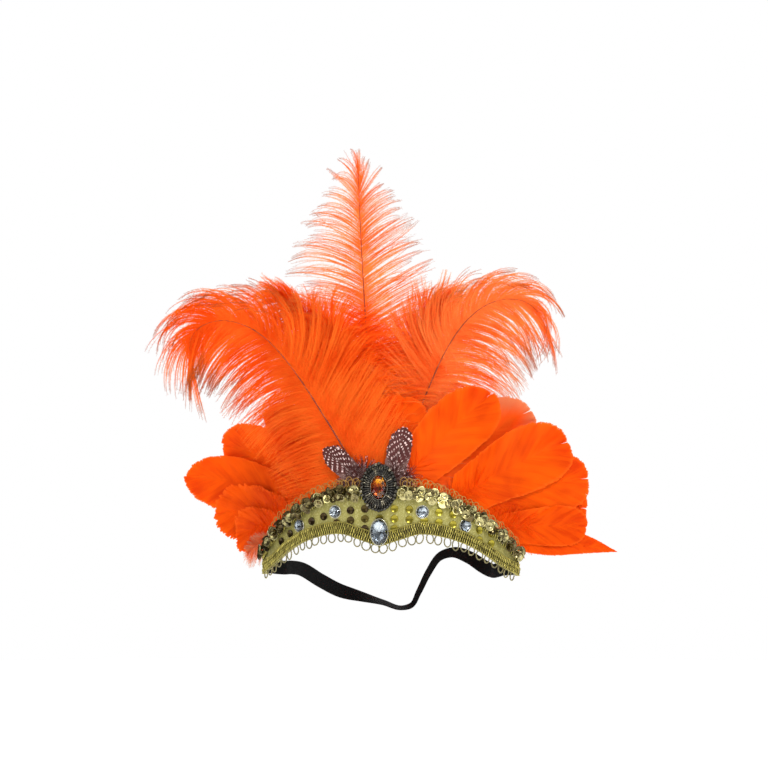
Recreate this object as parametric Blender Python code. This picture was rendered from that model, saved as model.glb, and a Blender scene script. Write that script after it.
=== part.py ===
"""Carnival feather headdress: a sequin band with a brooch and stones, ostrich plumes and a fan of feathers.

The origin is the middle of the band's inner face, where it rests on the forehead. The front faces -Y, the
head is towards +Y and +Z is up. Lengths are in metres and angles in degrees. Left and right are as seen from
the front.
"""
import math
from collections import namedtuple

import bmesh
import bpy
import numpy as np

# Band
band_radius = 0.102
band_half_angle = 62.0
band_height = 0.042
band_wall = 0.002
band_steps = 32
clearance = 0.0003

# Braid with picot loops along the lower edge
braid_height = 0.008
braid_thickness = 0.0016
braid_loops = 29
loop_width = 0.0046
loop_height = 0.0066
loop_wire = 0.0009

# Ruffled sequin trim along the upper edge
trim_height = 0.0095
trim_thickness = 0.0012
ruffle_depth = 0.0022
trim_loops = 30
trim_loop_width = 0.0044
trim_loop_height = 0.0050
trim_loop_wire = 0.0008

# Brooch
brooch_width = 0.0266
brooch_height = 0.0343
brooch_plate = 0.0016
brooch_lift = 0.0203
brooch_beads = 38
bead_rim_width = 0.0042
bead_rim_height = 0.0026
bead_relief = 0.0005
brooch_sides = 28
brooch_stone_sides = 14
brooch_stone_width = 0.0112
brooch_stone_height = 0.0168
brooch_stone_depth = 0.0052

# Stones on the band
stone_diameter = 0.0082
stone_depth = 0.0026
stone_sides = 10
centre_stone_sides = 14
centre_stone_width = 0.0118
centre_stone_height = 0.0180
centre_stone_depth = 0.0040

# Feathers
feather_thickness = 0.0010
layer_gap = 0.0009
plume_length = 0.246
barb_length = 0.056
broad_length = 0.100
broad_half_width = 0.024
broad_splay = 45.0
guinea_length = 0.048
guinea_half_width = 0.0085
guinea_splay = 38.0
down_length = 0.042
down_half_width = 0.018
quill_half_width = 0.0020
lean_back = 0.10
tip_curl = 0.055
curl_start = 0.120
fan_height = 0.255
layer_spread = 1.3
spread_reach = 0.080
fan_centre_drop = 0.080

# Shape of the fan, as shares: where it leaves the band's circle, how fast it eases from there into its side
# slope, and how much of that depth it loses at its full height
fan_turn_off = 0.85
fan_ease = 0.15
fan_side_slope = 0.45
fan_flattening = 0.5

# Shape of the locks, as shares: unevenness of their length and its phase step in radians, how much the
# splay closes towards the tip, how far a long lock's shoulders draw together, and which way a short lock's
# tip leans
lock_wave = 0.07
lock_wave_step = 2.4
splay_ebb = 0.4
lock_shoulder = 0.14
lock_tip_lean = 0.45
spine_substeps = 8
barb_steps = 6

# Strap
strap_width = 0.0100
strap_thickness = 0.0010
strap_depth = 0.094
strap_drop = 0.0714
strap_stations = 56
strap_tab_angles = (61.0, 58.0, 55.0, 54.0)
strap_tab_height = 0.0045

# Edges of the band: share of the half angle, then lower and upper edge as shares of the height
BandEdge = namedtuple("BandEdge", "angle lower upper")
BAND_EDGES = [
    BandEdge(0.00, -0.500, 0.500),
    BandEdge(0.13, -0.385, 0.495),
    BandEdge(0.24, -0.300, 0.482),
    BandEdge(0.32, -0.307, 0.445),
    BandEdge(0.40, -0.350, 0.374),
    BandEdge(0.55, -0.476, 0.174),
    BandEdge(0.69, -0.657, -0.033),
    BandEdge(0.84, -0.880, -0.300),
    BandEdge(1.00, -1.040, -0.620),
]

# Round stones: angle on the band. They sit halfway between the braid and the trim.
Stone = namedtuple("Stone", "name angle")
ROUND_STONES = [
    Stone("band_stone_left_outer", -35.0),
    Stone("band_stone_left_inner", -18.0),
    Stone("band_stone_right_inner", 16.5),
    Stone("band_stone_right_outer", 34.0),
]

# One row for each feather. Root and height are its angle and its share of the band's height there. Length,
# left and right are shares of its kind's length and barbs. Lean is the heading at the root from upright,
# towards +X, and curl is added to it along the spine by the given power. Splay turns the barbs off the
# spine, and the two sags pull the left and right ones down. Layer counts the feathers that lie before it in
# the fan.
Feather = namedtuple("Feather", "name kind root height length lean curl power left right "
                                "splay sag_left sag_right layer")
FEATHERS = [
    Feather("guinea_feather_left", "guinea", -4.0, 0.84, 0.88, -36, -14, 1.0, 1.00, 1.00, 38, 0.10, 0.10, 0),
    Feather("guinea_feather_right", "guinea", 4.0, 0.78, 1.05, 10, 8, 1.0, 1.00, 1.00, 38, 0.10, 0.10, 0),
    Feather("plume_left", "plume", -3.2, 0.76, 0.87, -36, -115, 4.5, 1.06, 0.62, 52, 0.55, 0.30, 1),
    Feather("broad_feather_right_1", "broad", -2.4, 0.78, 0.70, 12, 8, 1.5, 0.80, 0.90, 45, 0.10, 0.10, 2),
    Feather("plume_front", "plume", -2.6, 0.76, 0.60, -13, -12, 2.0, 0.84, 0.84, 42, 0.40, 0.40, 3),
    Feather("plume_right", "plume", 1.0, 0.76, 0.80, 20, 133, 5.0, 0.66, 1.00, 52, 0.30, 0.55, 3),
    Feather("plume_centre", "spire", -1.2, 0.76, 0.98, -6, 8, 1.5, 0.98, 0.98, 50, 0.42, 0.42, 4),
    Feather("plume_back_left", "plume", -2.9, 0.76, 0.73, -15, -26, 2.0, 0.84, 0.46, 44, 0.35, 0.30, 5),
    Feather("plume_back_right", "plume", 0.8, 0.76, 0.66, 6, 28, 2.5, 0.50, 0.84, 46, 0.30, 0.40, 5),
    Feather("broad_feather_right_2", "broad", 4.4, 0.76, 0.92, 34, 8, 1.5, 0.86, 0.92, 45, 0.10, 0.15, 1),
    Feather("broad_feather_right_3", "broad", 12.5, 0.74, 0.90, 45, 12, 1.5, 0.94, 0.94, 45, 0.10, 0.15, 2),
    Feather("broad_feather_right_4", "broad", 27, 0.74, 0.80, 54, 12, 1.5, 0.98, 0.98, 45, 0.10, 0.15, 0),
    Feather("broad_feather_right_5", "broad", 33, 0.70, 0.76, 66, 14, 1.5, 0.94, 0.94, 45, 0.10, 0.15, 1),
    Feather("broad_feather_right_6", "broad", 38, 0.66, 0.66, 77, 12, 1.5, 0.80, 0.80, 42, 0.10, 0.15, 2),
    Feather("broad_feather_right_7", "broad", 43, 0.62, 0.60, 85, 8, 1.5, 0.72, 0.70, 40, 0.10, 0.10, 0),
    Feather("broad_feather_right_8", "broad", 45, 0.44, 0.76, 94, 4, 1.5, 0.66, 0.46, 36, 0.10, 0.10, 1),
    Feather("broad_feather_left_1", "broad", -5.2, 0.76, 0.94, -42, -12, 1.5, 0.90, 0.80, 45, 0.10, 0.10, 2),
    Feather("broad_feather_left_2", "broad", -23, 0.72, 0.88, -54, -14, 1.5, 0.98, 0.94, 45, 0.15, 0.10, 4.3),
    Feather("broad_feather_left_3", "broad", -30, 0.70, 0.96, -68, -14, 1.5, 1.00, 1.00, 45, 0.15, 0.10, 3),
    Feather("broad_feather_left_4", "broad", -38, 0.66, 0.74, -76, -10, 1.5, 0.90, 0.84, 42, 0.15, 0.10, 2),
    Feather("broad_feather_left_5", "broad", -44, 0.60, 0.54, -80, -12, 1.5, 0.76, 0.70, 40, 0.15, 0.10, 1),
    Feather("down_tuft_left", "down", -50, 0.66, 1.00, -86, -40, 1.2, 1.00, 0.70, 50, 0.45, 0.10, 0),
]

# For each kind: stations along the spine, where the vane starts, how solid it is before its locks part, how
# many rows that core has, its fullest point, its width at the tip as a share of the fullest, and whether
# the locks are long with shoulders or short and pointed.
Kind = namedtuple("Kind", "stations vane_start core rows fullest tip_share long_locks")
KINDS = {
    "spire": Kind(15, 0.10, 0.42, 1, 0.50, 0.16, True),
    "plume": Kind(15, 0.10, 0.42, 1, 0.50, 0.34, True),
    "broad": Kind(7, 0.02, 0.86, 2, 0.50, 0.30, False),
    "guinea": Kind(7, 0.16, 0.80, 1, 0.55, 0.30, False),
    "down": Kind(8, 0.10, 0.45, 1, 0.50, 0.40, True),
}

# Route of the strap's middle line between its sewn ends: x as a share of the band's half chord, y of the
# strap's depth, z of its drop, and the roll of its width out of the front plane. Points chosen by hand.
StrapPoint = namedtuple("StrapPoint", "x y z roll")
STRAP_ROUTE = [
    StrapPoint(-0.845, 0.450, -0.545, 0),
    StrapPoint(-0.790, 0.550, -0.550, 4),
    StrapPoint(-0.730, 0.680, -0.578, 10),
    StrapPoint(-0.600, 0.810, -0.700, 10),
    StrapPoint(-0.460, 0.905, -0.806, 18),
    StrapPoint(-0.300, 0.960, -0.868, 48),
    StrapPoint(-0.120, 0.990, -0.931, 74),
    StrapPoint(0.030, 1.000, -0.985, 76),
    StrapPoint(0.105, 1.000, -0.960, 62),
    StrapPoint(0.168, 0.995, -0.823, 48),
    StrapPoint(0.247, 0.975, -0.627, 38),
    StrapPoint(0.350, 0.910, -0.455, 36),
    StrapPoint(0.464, 0.830, -0.405, 42),
    StrapPoint(0.620, 0.700, -0.450, 34),
    StrapPoint(0.740, 0.600, -0.530, 16),
    StrapPoint(0.805, 0.520, -0.560, 4),
    StrapPoint(0.850, 0.445, -0.560, 0),
]

# Length and longest barb of each kind of feather, and its finish
FEATHER_SIZES = {
    "spire": (plume_length, barb_length, "orange_plume"),
    "plume": (plume_length, barb_length, "orange_plume"),
    "broad": (broad_length, broad_half_width / math.sin(math.radians(broad_splay)), "orange_feather"),
    "guinea": (guinea_length, guinea_half_width / math.sin(math.radians(guinea_splay)), "guinea"),
    "down": (down_length, down_half_width, "pale_down"),
}

# Rings of a cut stone from the back to the table: size and depth as shares, and the turn in steps of its
# sides
CutRing = namedtuple("CutRing", "size depth turn")
CUT_RINGS = [
    CutRing(1.00, 0.00, 0.0),
    CutRing(1.00, 0.34, 0.0),
    CutRing(0.80, 0.74, 0.5),
    CutRing(0.52, 1.00, 0.0),
]

# Section of the bead rim from its outer foot to its inner one: how far in, how high and how scalloped, as
# shares
RimPoint = namedtuple("RimPoint", "inset lift relief")
RIM_SECTION = [
    RimPoint(0.00, 0.00, 1.0),
    RimPoint(0.18, 0.72, 1.0),
    RimPoint(0.62, 1.00, 0.6),
    RimPoint(1.00, 0.00, 0.0),
]

# Picot loops: half the distance between their feet as a share of the width, and the angles of their
# outline's points
loop_foot = 0.32
braid_loop_turns = (70, 125, 180, 235, 290)
trim_loop_turns = (80, 180, 280)

# Depth of the ruffled trim at its upper edge, middle and lower edge, and at a fold, as shares of the
# ruffle's depth
RUFFLE_ROWS = (0.35, 1.0, 0.25)
ruffle_fold = 0.24

# Colour, roughness and metallic value of each family
FINISHES = {
    "gold_fabric": ((0.50, 0.44, 0.20), 0.45, 0.4),
    "gold_braid": ((0.42, 0.33, 0.06), 0.40, 0.7),
    "gold_sequin": ((0.46, 0.36, 0.07), 0.22, 0.9),
    "gunmetal": ((0.035, 0.030, 0.026), 0.30, 0.7),
    "red_stone": ((0.62, 0.045, 0.008), 0.08, 0.0),
    "clear_stone": ((0.62, 0.68, 0.74), 0.06, 0.0),
    "guinea": ((0.045, 0.012, 0.012), 0.60, 0.0),
    "orange_plume": ((0.95, 0.15, 0.02), 0.62, 0.0),
    "orange_feather": ((0.88, 0.085, 0.008), 0.58, 0.0),
    "pale_down": ((0.95, 0.30, 0.12), 0.70, 0.0),
    "black_elastic": ((0.006, 0.006, 0.007), 0.75, 0.0),
}


def clear_scene():
    """Removes every object, so that the file holds the headdress alone."""
    for item in list(bpy.data.objects):
        bpy.data.objects.remove(item, do_unlink=True)


def material(name):
    """Returns the family's material, made once."""
    found = bpy.data.materials.get(name)
    if found:
        return found
    colour, roughness, metallic = FINISHES[name]
    made = bpy.data.materials.new(name)
    made.use_nodes = True
    surface = made.node_tree.nodes["Principled BSDF"]
    surface.inputs["Base Color"].default_value = (*colour, 1.0)
    surface.inputs["Roughness"].default_value = roughness
    surface.inputs["Metallic"].default_value = metallic
    return made


def add_solid(name, points, faces, finish, smooth_angle=None):
    """Makes one closed body from points and faces, with its faces turned outwards."""
    mesh = bpy.data.meshes.new(name)
    mesh.from_pydata([tuple(map(float, point)) for point in points], [], [tuple(face) for face in faces])
    shape = bmesh.new()
    shape.from_mesh(mesh)
    bmesh.ops.recalc_face_normals(shape, faces=shape.faces)
    shape.to_mesh(mesh)
    shape.free()
    if smooth_angle is not None:
        mesh.shade_smooth()
        mesh.set_sharp_from_angle(angle=math.radians(smooth_angle))
    mesh.materials.append(material(finish))
    item = bpy.data.objects.new(name, mesh)
    bpy.context.scene.collection.objects.link(item)
    return item


def add_sheet(name, front, back, faces, finish):
    """Closes a flat net of faces, given twice as front and back points, with walls along its open edges."""
    count = len(front)
    solid_faces = [tuple(face) for face in faces]
    solid_faces += [tuple(count + corner for corner in reversed(face)) for face in faces]
    edges = set()
    for face in faces:
        edges.update(zip(face, face[1:] + face[:1]))
    for start, end in sorted(edges):
        if (end, start) not in edges:
            solid_faces.append((end, start, count + start, count + end))
    return add_solid(name, list(front) + list(back), solid_faces, finish)


def smooth_read(places, values, at):
    """Reads a smooth curve through the values: cubic pieces whose slopes are the mean of their neighbours'."""
    places, values, at = (np.asarray(item, dtype=float) for item in (places, values, at))
    slopes = np.gradient(values, places)
    piece = np.clip(np.searchsorted(places, at, side="right") - 1, 0, len(places) - 2)
    width = places[piece + 1] - places[piece]
    t = (at - places[piece]) / width
    return ((1 + 2 * t) * (1 - t) ** 2 * values[piece] + t * (1 - t) ** 2 * width * slopes[piece]
            + t * t * (3 - 2 * t) * values[piece + 1] + t * t * (t - 1) * width * slopes[piece + 1])


def ease(value):
    """Smooth step from 0 to 1."""
    value = np.clip(value, 0.0, 1.0)
    return value * value * (3 - 2 * value)


# Places on the band

def band_edge(angle, column):
    """Height of the band's lower or upper edge at an angle, the same on both sides."""
    share = np.abs(np.asarray(angle, dtype=float)) / band_half_angle
    rows = [row.angle for row in BAND_EDGES]
    return band_height * smooth_read(rows, [getattr(row, column) for row in BAND_EDGES], share)


def band_point(angle, height, out):
    """Point at an angle and height, the distance out from the band's inner face."""
    turn = np.radians(angle)
    radius = band_radius + out
    height = height + 0 * turn
    return np.stack([radius * np.sin(turn), band_radius - radius * np.cos(turn), height], axis=-1)


def trim_fit(angle):
    """Shrinks the braid and the trim where the band is too low for both."""
    room = band_edge(angle, "upper") - band_edge(angle, "lower")
    return np.minimum(1.0, room / (braid_height + trim_height + 2 * clearance))


def angle_span(length, radius):
    """Angle in degrees of a length along a circle."""
    return math.degrees(length / radius)


def make_band():
    """Curved panel between the two edges."""
    angles = np.linspace(-band_half_angle, band_half_angle, band_steps + 1)
    low = band_edge(angles, "lower")
    high = band_edge(angles, "upper")
    front = np.concatenate([band_point(angles, low, band_wall), band_point(angles, high, band_wall)])
    back = np.concatenate([band_point(angles, low, 0.0), band_point(angles, high, 0.0)])
    row = band_steps + 1
    faces = [(i, i + 1, row + i + 1, row + i) for i in range(band_steps)]
    add_sheet("band", front, back, faces, "gold_fabric")


def loop_outline(width, height, wire, turns):
    """Outer and inner outline of a hanging loop, from foot to foot, as (across, down) points."""
    foot = loop_foot * width
    outer = [(-foot, 0.0)]
    inner = [(-foot + wire, 0.0)]
    for turn in turns:
        angle = math.radians(turn)
        outer.append((-width / 2 * math.sin(angle), -height / 2 + height / 2 * math.cos(angle)))
        inner.append(((wire - width / 2) * math.sin(angle),
                      -height / 2 + (height / 2 - wire) * math.cos(angle)))
    outer.append((foot, 0.0))
    inner.append((foot - wire, 0.0))
    return outer, inner


def looped_strip(name, finish, thickness, loops, outline, direction, rows, relief):
    """Strip along the band with a row of loops on one edge.

    direction is -1 for loops that hang and 1 for loops that stand. rows gives the heights across the strip at an
    angle, from the looped edge, and relief how far its front face stands proud of its thickness.
    """
    radius = band_radius + band_wall
    outer, inner = outline
    end_angle = band_half_angle - angle_span(loop_width, radius)
    pitch = 2 * end_angle / loops
    places = []
    depths = []
    faces = []

    def add_place(angle, height, depth):
        places.append((angle, height))
        depths.append(depth)
        return len(places) - 1

    def flip(face):
        return face if direction < 0 else face[::-1]

    columns = []
    for index in range(loops):
        middle = -end_angle + (index + 0.5) * pitch
        rings = []
        for ring in (outer, inner):
            chain = []
            for across, down in ring[1:-1]:
                angle = middle + angle_span(across, radius)
                chain.append(add_place(angle, rows(angle)[0] - direction * down, 0.0))
            rings.append(chain)
        feet = [outer[0][0], inner[0][0], inner[-1][0], outer[-1][0]]
        column = []
        for foot in feet:
            angle = middle + angle_span(foot, radius)
            heights = rows(angle)
            column.append([add_place(angle, height, relief(angle, step, index))
                           for step, height in enumerate(heights)])
        outer_chain = [column[0][0]] + rings[0] + [column[3][0]]
        inner_chain = [column[1][0]] + rings[1] + [column[2][0]]
        for i in range(len(outer_chain) - 1):
            faces.append(flip((outer_chain[i], outer_chain[i + 1], inner_chain[i + 1], inner_chain[i])))
        columns += column
    for left, right in zip(columns[:-1], columns[1:]):
        for step in range(len(left) - 1):
            faces.append(flip((left[step], right[step], right[step + 1], left[step + 1])))
    angles = np.array([place[0] for place in places])
    heights = np.array([place[1] for place in places])
    seat = band_wall + clearance
    front = band_point(angles, heights, seat + thickness + np.array(depths))
    back = band_point(angles, heights, seat)
    add_sheet(name, front, back, faces, finish)


def make_lower_braid():
    """Gimp braid along the lower edge with loops hanging from it."""
    def rows(angle):
        low = float(band_edge(angle, "lower"))
        return [low, low + braid_height * float(trim_fit(angle))]

    def relief(angle, step, index):
        return 0.0

    outline = loop_outline(loop_width, loop_height, loop_wire, braid_loop_turns)
    looped_strip("lower_braid", "gold_braid", braid_thickness, braid_loops, outline, -1, rows, relief)


def brooch_half_angle():
    """Angle from the middle to just past the brooch's side."""
    return angle_span(brooch_width / 2 + trim_loop_width, band_radius)


def make_sequin_trim():
    """Ruffled trim along the upper edge with small loops standing on it."""
    def rows(angle):
        high = float(band_edge(angle, "upper"))
        fit = float(trim_fit(angle))
        return [high, high - 0.5 * trim_height * fit, high - trim_height * fit]

    def relief(angle, step, index):
        if abs(angle) < brooch_half_angle():
            return 0.0
        crest = 1.0 if index % 2 == 0 else ruffle_fold
        return ruffle_depth * RUFFLE_ROWS[step] * crest

    outline = loop_outline(trim_loop_width, trim_loop_height, trim_loop_wire, trim_loop_turns)
    looped_strip("sequin_trim", "gold_sequin", trim_thickness, trim_loops, outline, 1, rows, relief)


# Brooch and stones

def oval(half_width, half_height, count, turn=0.0):
    """Points of an oval in the front plane, as (across, up) pairs."""
    angles = 2 * np.pi * (np.arange(count) + turn) / count
    return np.stack([half_width * np.sin(angles), half_height * np.cos(angles)], axis=-1)


def set_upright(flat, depth, angle, height, out):
    """Places flat points on the band: across and up along it, depth away from it."""
    turn = math.radians(angle)
    centre = band_point(angle, height, out)
    across = np.array([math.cos(turn), math.sin(turn), 0.0])
    outward = np.array([math.sin(turn), -math.cos(turn), 0.0])
    flat = np.asarray(flat)
    return centre + flat[:, :1] * across + flat[:, 1:] * np.array([0.0, 0.0, 1.0]) + depth * outward


def ring_faces(first, second, count):
    """Quads between two rings of the same count."""
    return [(first + i, first + (i + 1) % count, second + (i + 1) % count, second + i) for i in range(count)]


def make_cut_stone(name, finish, width, height, depth, sides, angle, middle, out):
    """Flat-backed stone with a girdle, a crown of kite facets and a table."""
    rings = []
    for ring in CUT_RINGS:
        flat = oval(width / 2 * ring.size, height / 2 * ring.size, sides, ring.turn)
        rings.append(set_upright(flat, depth * ring.depth, angle, middle, out))
    faces = [tuple(range(sides)), tuple(range(3 * sides, 4 * sides))]
    faces += ring_faces(0, sides, sides)
    for i in range(sides):
        after = (i + 1) % sides
        before = (i - 1) % sides
        faces.append((sides + i, sides + after, 2 * sides + i))
        faces.append((sides + i, 2 * sides + i, 3 * sides + i, 2 * sides + before))
        faces.append((3 * sides + i, 2 * sides + i, 3 * sides + after))
    add_solid(name, np.concatenate(rings), faces, finish)


def window_middle(angle):
    """Height halfway between the braid and the trim."""
    fit = trim_fit(angle)
    low = band_edge(angle, "lower") + braid_height * fit
    high = band_edge(angle, "upper") - trim_height * fit
    return float((low + high) / 2)


def make_band_stones():
    """Four round stones in the window of the band and the large one over the braid."""
    for stone in ROUND_STONES:
        make_cut_stone(stone.name, "clear_stone", stone_diameter, stone_diameter, stone_depth,
                       stone_sides, stone.angle, window_middle(stone.angle), band_wall + clearance)
    middle = float(band_edge(0.0, "lower")) + centre_stone_height / 2 + loop_wire
    make_cut_stone("band_stone_centre", "clear_stone", centre_stone_width, centre_stone_height, centre_stone_depth,
                   centre_stone_sides, 0.0, middle, band_wall + braid_thickness + 2 * clearance)


def make_brooch():
    """Oval plate on the trim, a rim of radial beads on it and the faceted stone in its middle."""
    back = band_wall + trim_thickness + 2 * clearance
    sides = brooch_sides
    outline = oval(brooch_width / 2 - bead_relief, brooch_height / 2 - bead_relief, sides)
    plate = [set_upright(outline, depth, 0.0, brooch_lift, back) for depth in (0.0, brooch_plate)]
    faces = [tuple(range(sides)), tuple(range(sides, 2 * sides))] + ring_faces(0, sides, sides)
    add_solid("brooch_base", np.concatenate(plate), faces, "gunmetal")

    seat = back + brooch_plate + clearance
    count = 2 * brooch_beads
    bump = bead_relief * (-1.0) ** np.arange(count)[:, None]
    outer = oval(1.0, 1.0, count)
    rings = []
    for point in RIM_SECTION:
        half = np.array([brooch_width, brooch_height]) / 2 - bead_relief - point.inset * bead_rim_width
        depth = point.lift * (bead_rim_height + bump)
        rings.append(set_upright(outer * (half + bump * point.relief), depth, 0.0, brooch_lift, seat))
    faces = []
    for index in range(4):
        faces += ring_faces(index * count, (index + 1) % 4 * count, count)
    add_solid("brooch_bead_rim", np.concatenate(rings), faces, "gunmetal")
    make_cut_stone("brooch_stone", "red_stone", brooch_stone_width, brooch_stone_height, brooch_stone_depth,
                   brooch_stone_sides, 0.0, brooch_lift, seat)


# Feathers

def fan_profile(x):
    """Depth and slope of the fan across: along the band's inner face, then flaring out to the sides."""
    radius = band_radius - clearance
    x = np.abs(x)
    turn_off = fan_turn_off * radius
    drop = math.sqrt(radius ** 2 - turn_off ** 2)
    inside = band_radius - np.sqrt(np.maximum(radius ** 2 - np.minimum(x, turn_off) ** 2, 0.0))
    slope_in = turn_off / drop
    ease_length = fan_ease * band_radius
    beyond = np.maximum(x - turn_off, 0.0)
    ebb = np.exp(-beyond / ease_length)
    flare = fan_side_slope * beyond + (slope_in - fan_side_slope) * ease_length * (1 - ebb)
    slope = np.minimum(x, turn_off) / np.sqrt(radius ** 2 - np.minimum(x, turn_off) ** 2)
    slope = np.where(x > turn_off, fan_side_slope + (slope_in - fan_side_slope) * ebb, slope)
    return inside + flare, slope


def fan_depth(x, z, layer_depth, thickness):
    """Front and back of a layer of the fan: flatter and leaning back with height, curling forward at the tips.

    Layers lie behind each other by their depth, measured square to the fan, and part further towards the tips.
    """
    across, slope = fan_profile(x)
    reach = np.hypot(x, z)
    flat = 1 - fan_flattening * ease((z - band_height / 2) / (fan_height / 2))
    curl = tip_curl * np.maximum((reach - curl_start) / (fan_height - curl_start), 0.0) ** 2
    above_band = np.hypot(x, z + fan_centre_drop) - fan_centre_drop - band_height / 2
    part = 1 + layer_spread * ease(above_band / spread_reach)
    square = np.hypot(1.0, flat * slope)
    lean = lean_back * np.maximum(z - band_height / 2, 0.0)
    front = flat * across + lean - curl + layer_depth * part * square
    return front, front + thickness * square


def feather_spine(row, length, stations):
    """Spine points in the front plane and headings, by adding up short steps along the curling heading."""
    steps = stations * spine_substeps
    share = (np.arange(steps) + 0.5) / steps
    heading = np.radians(row.lean + row.curl * share ** row.power)
    step = length / steps
    low = float(band_edge(row.root, "lower"))
    high = float(band_edge(row.root, "upper"))
    root = (band_radius * math.sin(math.radians(row.root)), low + row.height * (high - low))
    path = np.cumsum(np.stack([np.sin(heading), np.cos(heading)], axis=-1) * step, axis=0)
    path = np.concatenate([[root], root + path])[::spine_substeps]
    share = np.arange(stations + 1) / stations
    return path, np.radians(row.lean + row.curl * share ** row.power), share


def barb_reach(kind, share, barb, wave):
    """Length of the barbs along the spine: none on the quill, fullest past the middle, shorter at the tip."""
    rise = ease((share - kind.vane_start) / (kind.fullest - kind.vane_start))
    fall = 1 - (1 - kind.tip_share) * ease((share - kind.fullest) / (1 - kind.fullest))
    return quill_half_width + (barb * wave - quill_half_width) * rise * fall


def barb_point(base, heading, side, splay, sag, reach, share):
    """Point along a barb: it leaves the spine at the splay and is pulled towards straight down by the sag."""
    start = heading + side * math.radians(splay)
    place = np.array(base, dtype=float)
    for step in range(barb_steps):
        t = (step + 0.5) / barb_steps * share
        pull = sag * t
        x = (1 - pull) * math.sin(start)
        z = (1 - pull) * math.cos(start) - pull
        size = math.hypot(x, z)
        place += np.array([x, z]) / size * reach * share / barb_steps
    return place


def make_feather(row):
    """Feather as a sheet of locks: a solid core along the spine whose edge parts into tapering tips."""
    kind = KINDS[row.kind]
    length, barb, finish = FEATHER_SIZES[row.kind]
    spine, headings, share = feather_spine(row, row.length * length, kind.stations)
    places = [tuple(point) for point in spine]
    faces = []
    last = kind.stations
    for side, barb_share, sag in ((-1, row.left, row.sag_left), (1, row.right, row.sag_right)):
        wave = 1 + lock_wave * np.sin(lock_wave_step * np.arange(last + 1) + side + row.root)
        reach = barb_reach(kind, share, barb * barb_share, wave)
        core = kind.core + (1 - kind.core) * quill_half_width / reach
        splay = row.splay * (1 - splay_ebb * share ** 3)

        def along_barb(station, part):
            return barb_point(spine[station], headings[station], side, splay[station], sag, reach[station], part)

        def add_face(*corners):
            faces.append(corners if side > 0 else corners[::-1])

        lines = [list(range(last + 1))]
        for part in range(1, kind.rows + 1):
            lines.append([])
            for i in range(last + 1):
                places.append(tuple(along_barb(i, core[i] * part / kind.rows)))
                lines[-1].append(len(places) - 1)
        for inner, outer in zip(lines[:-1], lines[1:]):
            for i in range(last):
                add_face(inner[i], outer[i], outer[i + 1], inner[i + 1])
        edge = lines[-1]
        for i in range(last):
            if reach[i] < 4 * quill_half_width:
                continue
            tips = [along_barb(j, 1.0) for j in (i, i + 1)]
            mids = [along_barb(j, (1 + core[j]) / 2) for j in (i, i + 1)]
            if kind.long_locks:
                places.append(tuple(mids[0] + lock_shoulder * (mids[1] - mids[0])))
                places.append(tuple(mids[1] + lock_shoulder * (mids[0] - mids[1])))
                places.append(tuple((tips[0] + tips[1]) / 2))
                first, second, tip = len(places) - 3, len(places) - 2, len(places) - 1
                add_face(edge[i], first, second, edge[i + 1])
                add_face(first, tip, second)
            else:
                places.append(tuple(tips[1] + lock_tip_lean * (tips[0] - tips[1])))
                add_face(edge[i], len(places) - 1, edge[i + 1])
    flat = np.array(places)
    layer_depth = row.layer * (feather_thickness + layer_gap)
    near, far = fan_depth(flat[:, 0], flat[:, 1], layer_depth, feather_thickness)
    front = np.stack([flat[:, 0], near, flat[:, 1]], axis=-1)
    back = np.stack([flat[:, 0], far, flat[:, 1]], axis=-1)
    add_sheet(row.name, front, back, faces, finish)


# Strap

def strap_tab(angles):
    """Middle line of the sewn end, flat on the band's inner face just above the band's lower edge."""
    height = band_edge(strap_tab_angles[0], "lower") + strap_tab_height
    return band_point(angles, height, -clearance - strap_thickness / 2)


def make_strap():
    """Flat elastic along its route, its width rolled in and out of the front plane."""
    half_chord = band_radius * math.sin(math.radians(band_half_angle))
    free = np.array([(p.x * half_chord, p.y * strap_depth, p.z * strap_drop) for p in STRAP_ROUTE])
    tab = np.array(strap_tab_angles)
    points = np.concatenate([strap_tab(-tab), free, strap_tab(tab[::-1])])
    flat = [0.0] * len(tab)
    rolls = flat + [p.roll for p in STRAP_ROUTE] + flat
    spacing = np.concatenate([[0.0], np.cumsum(np.linalg.norm(np.diff(points, axis=0), axis=1))])
    at = np.linspace(0.0, spacing[-1], strap_stations)
    path = np.stack([smooth_read(spacing, points[:, axis], at) for axis in range(3)], axis=-1)
    roll = np.radians(smooth_read(spacing, rolls, at))
    along = np.gradient(path, axis=0)
    along /= np.linalg.norm(along, axis=1)[:, None]
    upright = np.stack([-along[:, 2], 0 * at, along[:, 0]], axis=-1)
    upright /= np.linalg.norm(upright, axis=1)[:, None]
    width = np.cos(roll)[:, None] * upright + np.sin(roll)[:, None] * np.array([0.0, 1.0, 0.0])
    width -= np.sum(width * along, axis=1)[:, None] * along
    width /= np.linalg.norm(width, axis=1)[:, None]
    face = np.cross(along, width)
    corners = [(-1, -1), (1, -1), (1, 1), (-1, 1)]
    rings = [path + a * strap_width / 2 * width + b * strap_thickness / 2 * face for a, b in corners]
    rows = np.stack(rings, axis=1).reshape(-1, 3)
    faces = [(0, 1, 2, 3), tuple(4 * (strap_stations - 1) + i for i in range(4))]
    for i in range(strap_stations - 1):
        faces += ring_faces(4 * i, 4 * (i + 1), 4)
    add_solid("strap", rows, faces, "black_elastic")


def main():
    """Builds the headdress."""
    clear_scene()
    make_band()
    make_lower_braid()
    make_sequin_trim()
    make_brooch()
    make_band_stones()
    for row in FEATHERS:
        make_feather(row)
    make_strap()


main()
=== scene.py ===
"""Looks of the carnival feather headdress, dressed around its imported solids.

Lengths are in metres and angles in degrees. The origin is the middle of the band's inner face, the front
faces -Y and +Z is up. Left and right are as seen from the front. A feather is worked out in the front plane,
as places (x, z), and then laid on one curved fan surface that starts at the band's inner face.
"""
import math
from collections import namedtuple

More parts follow.
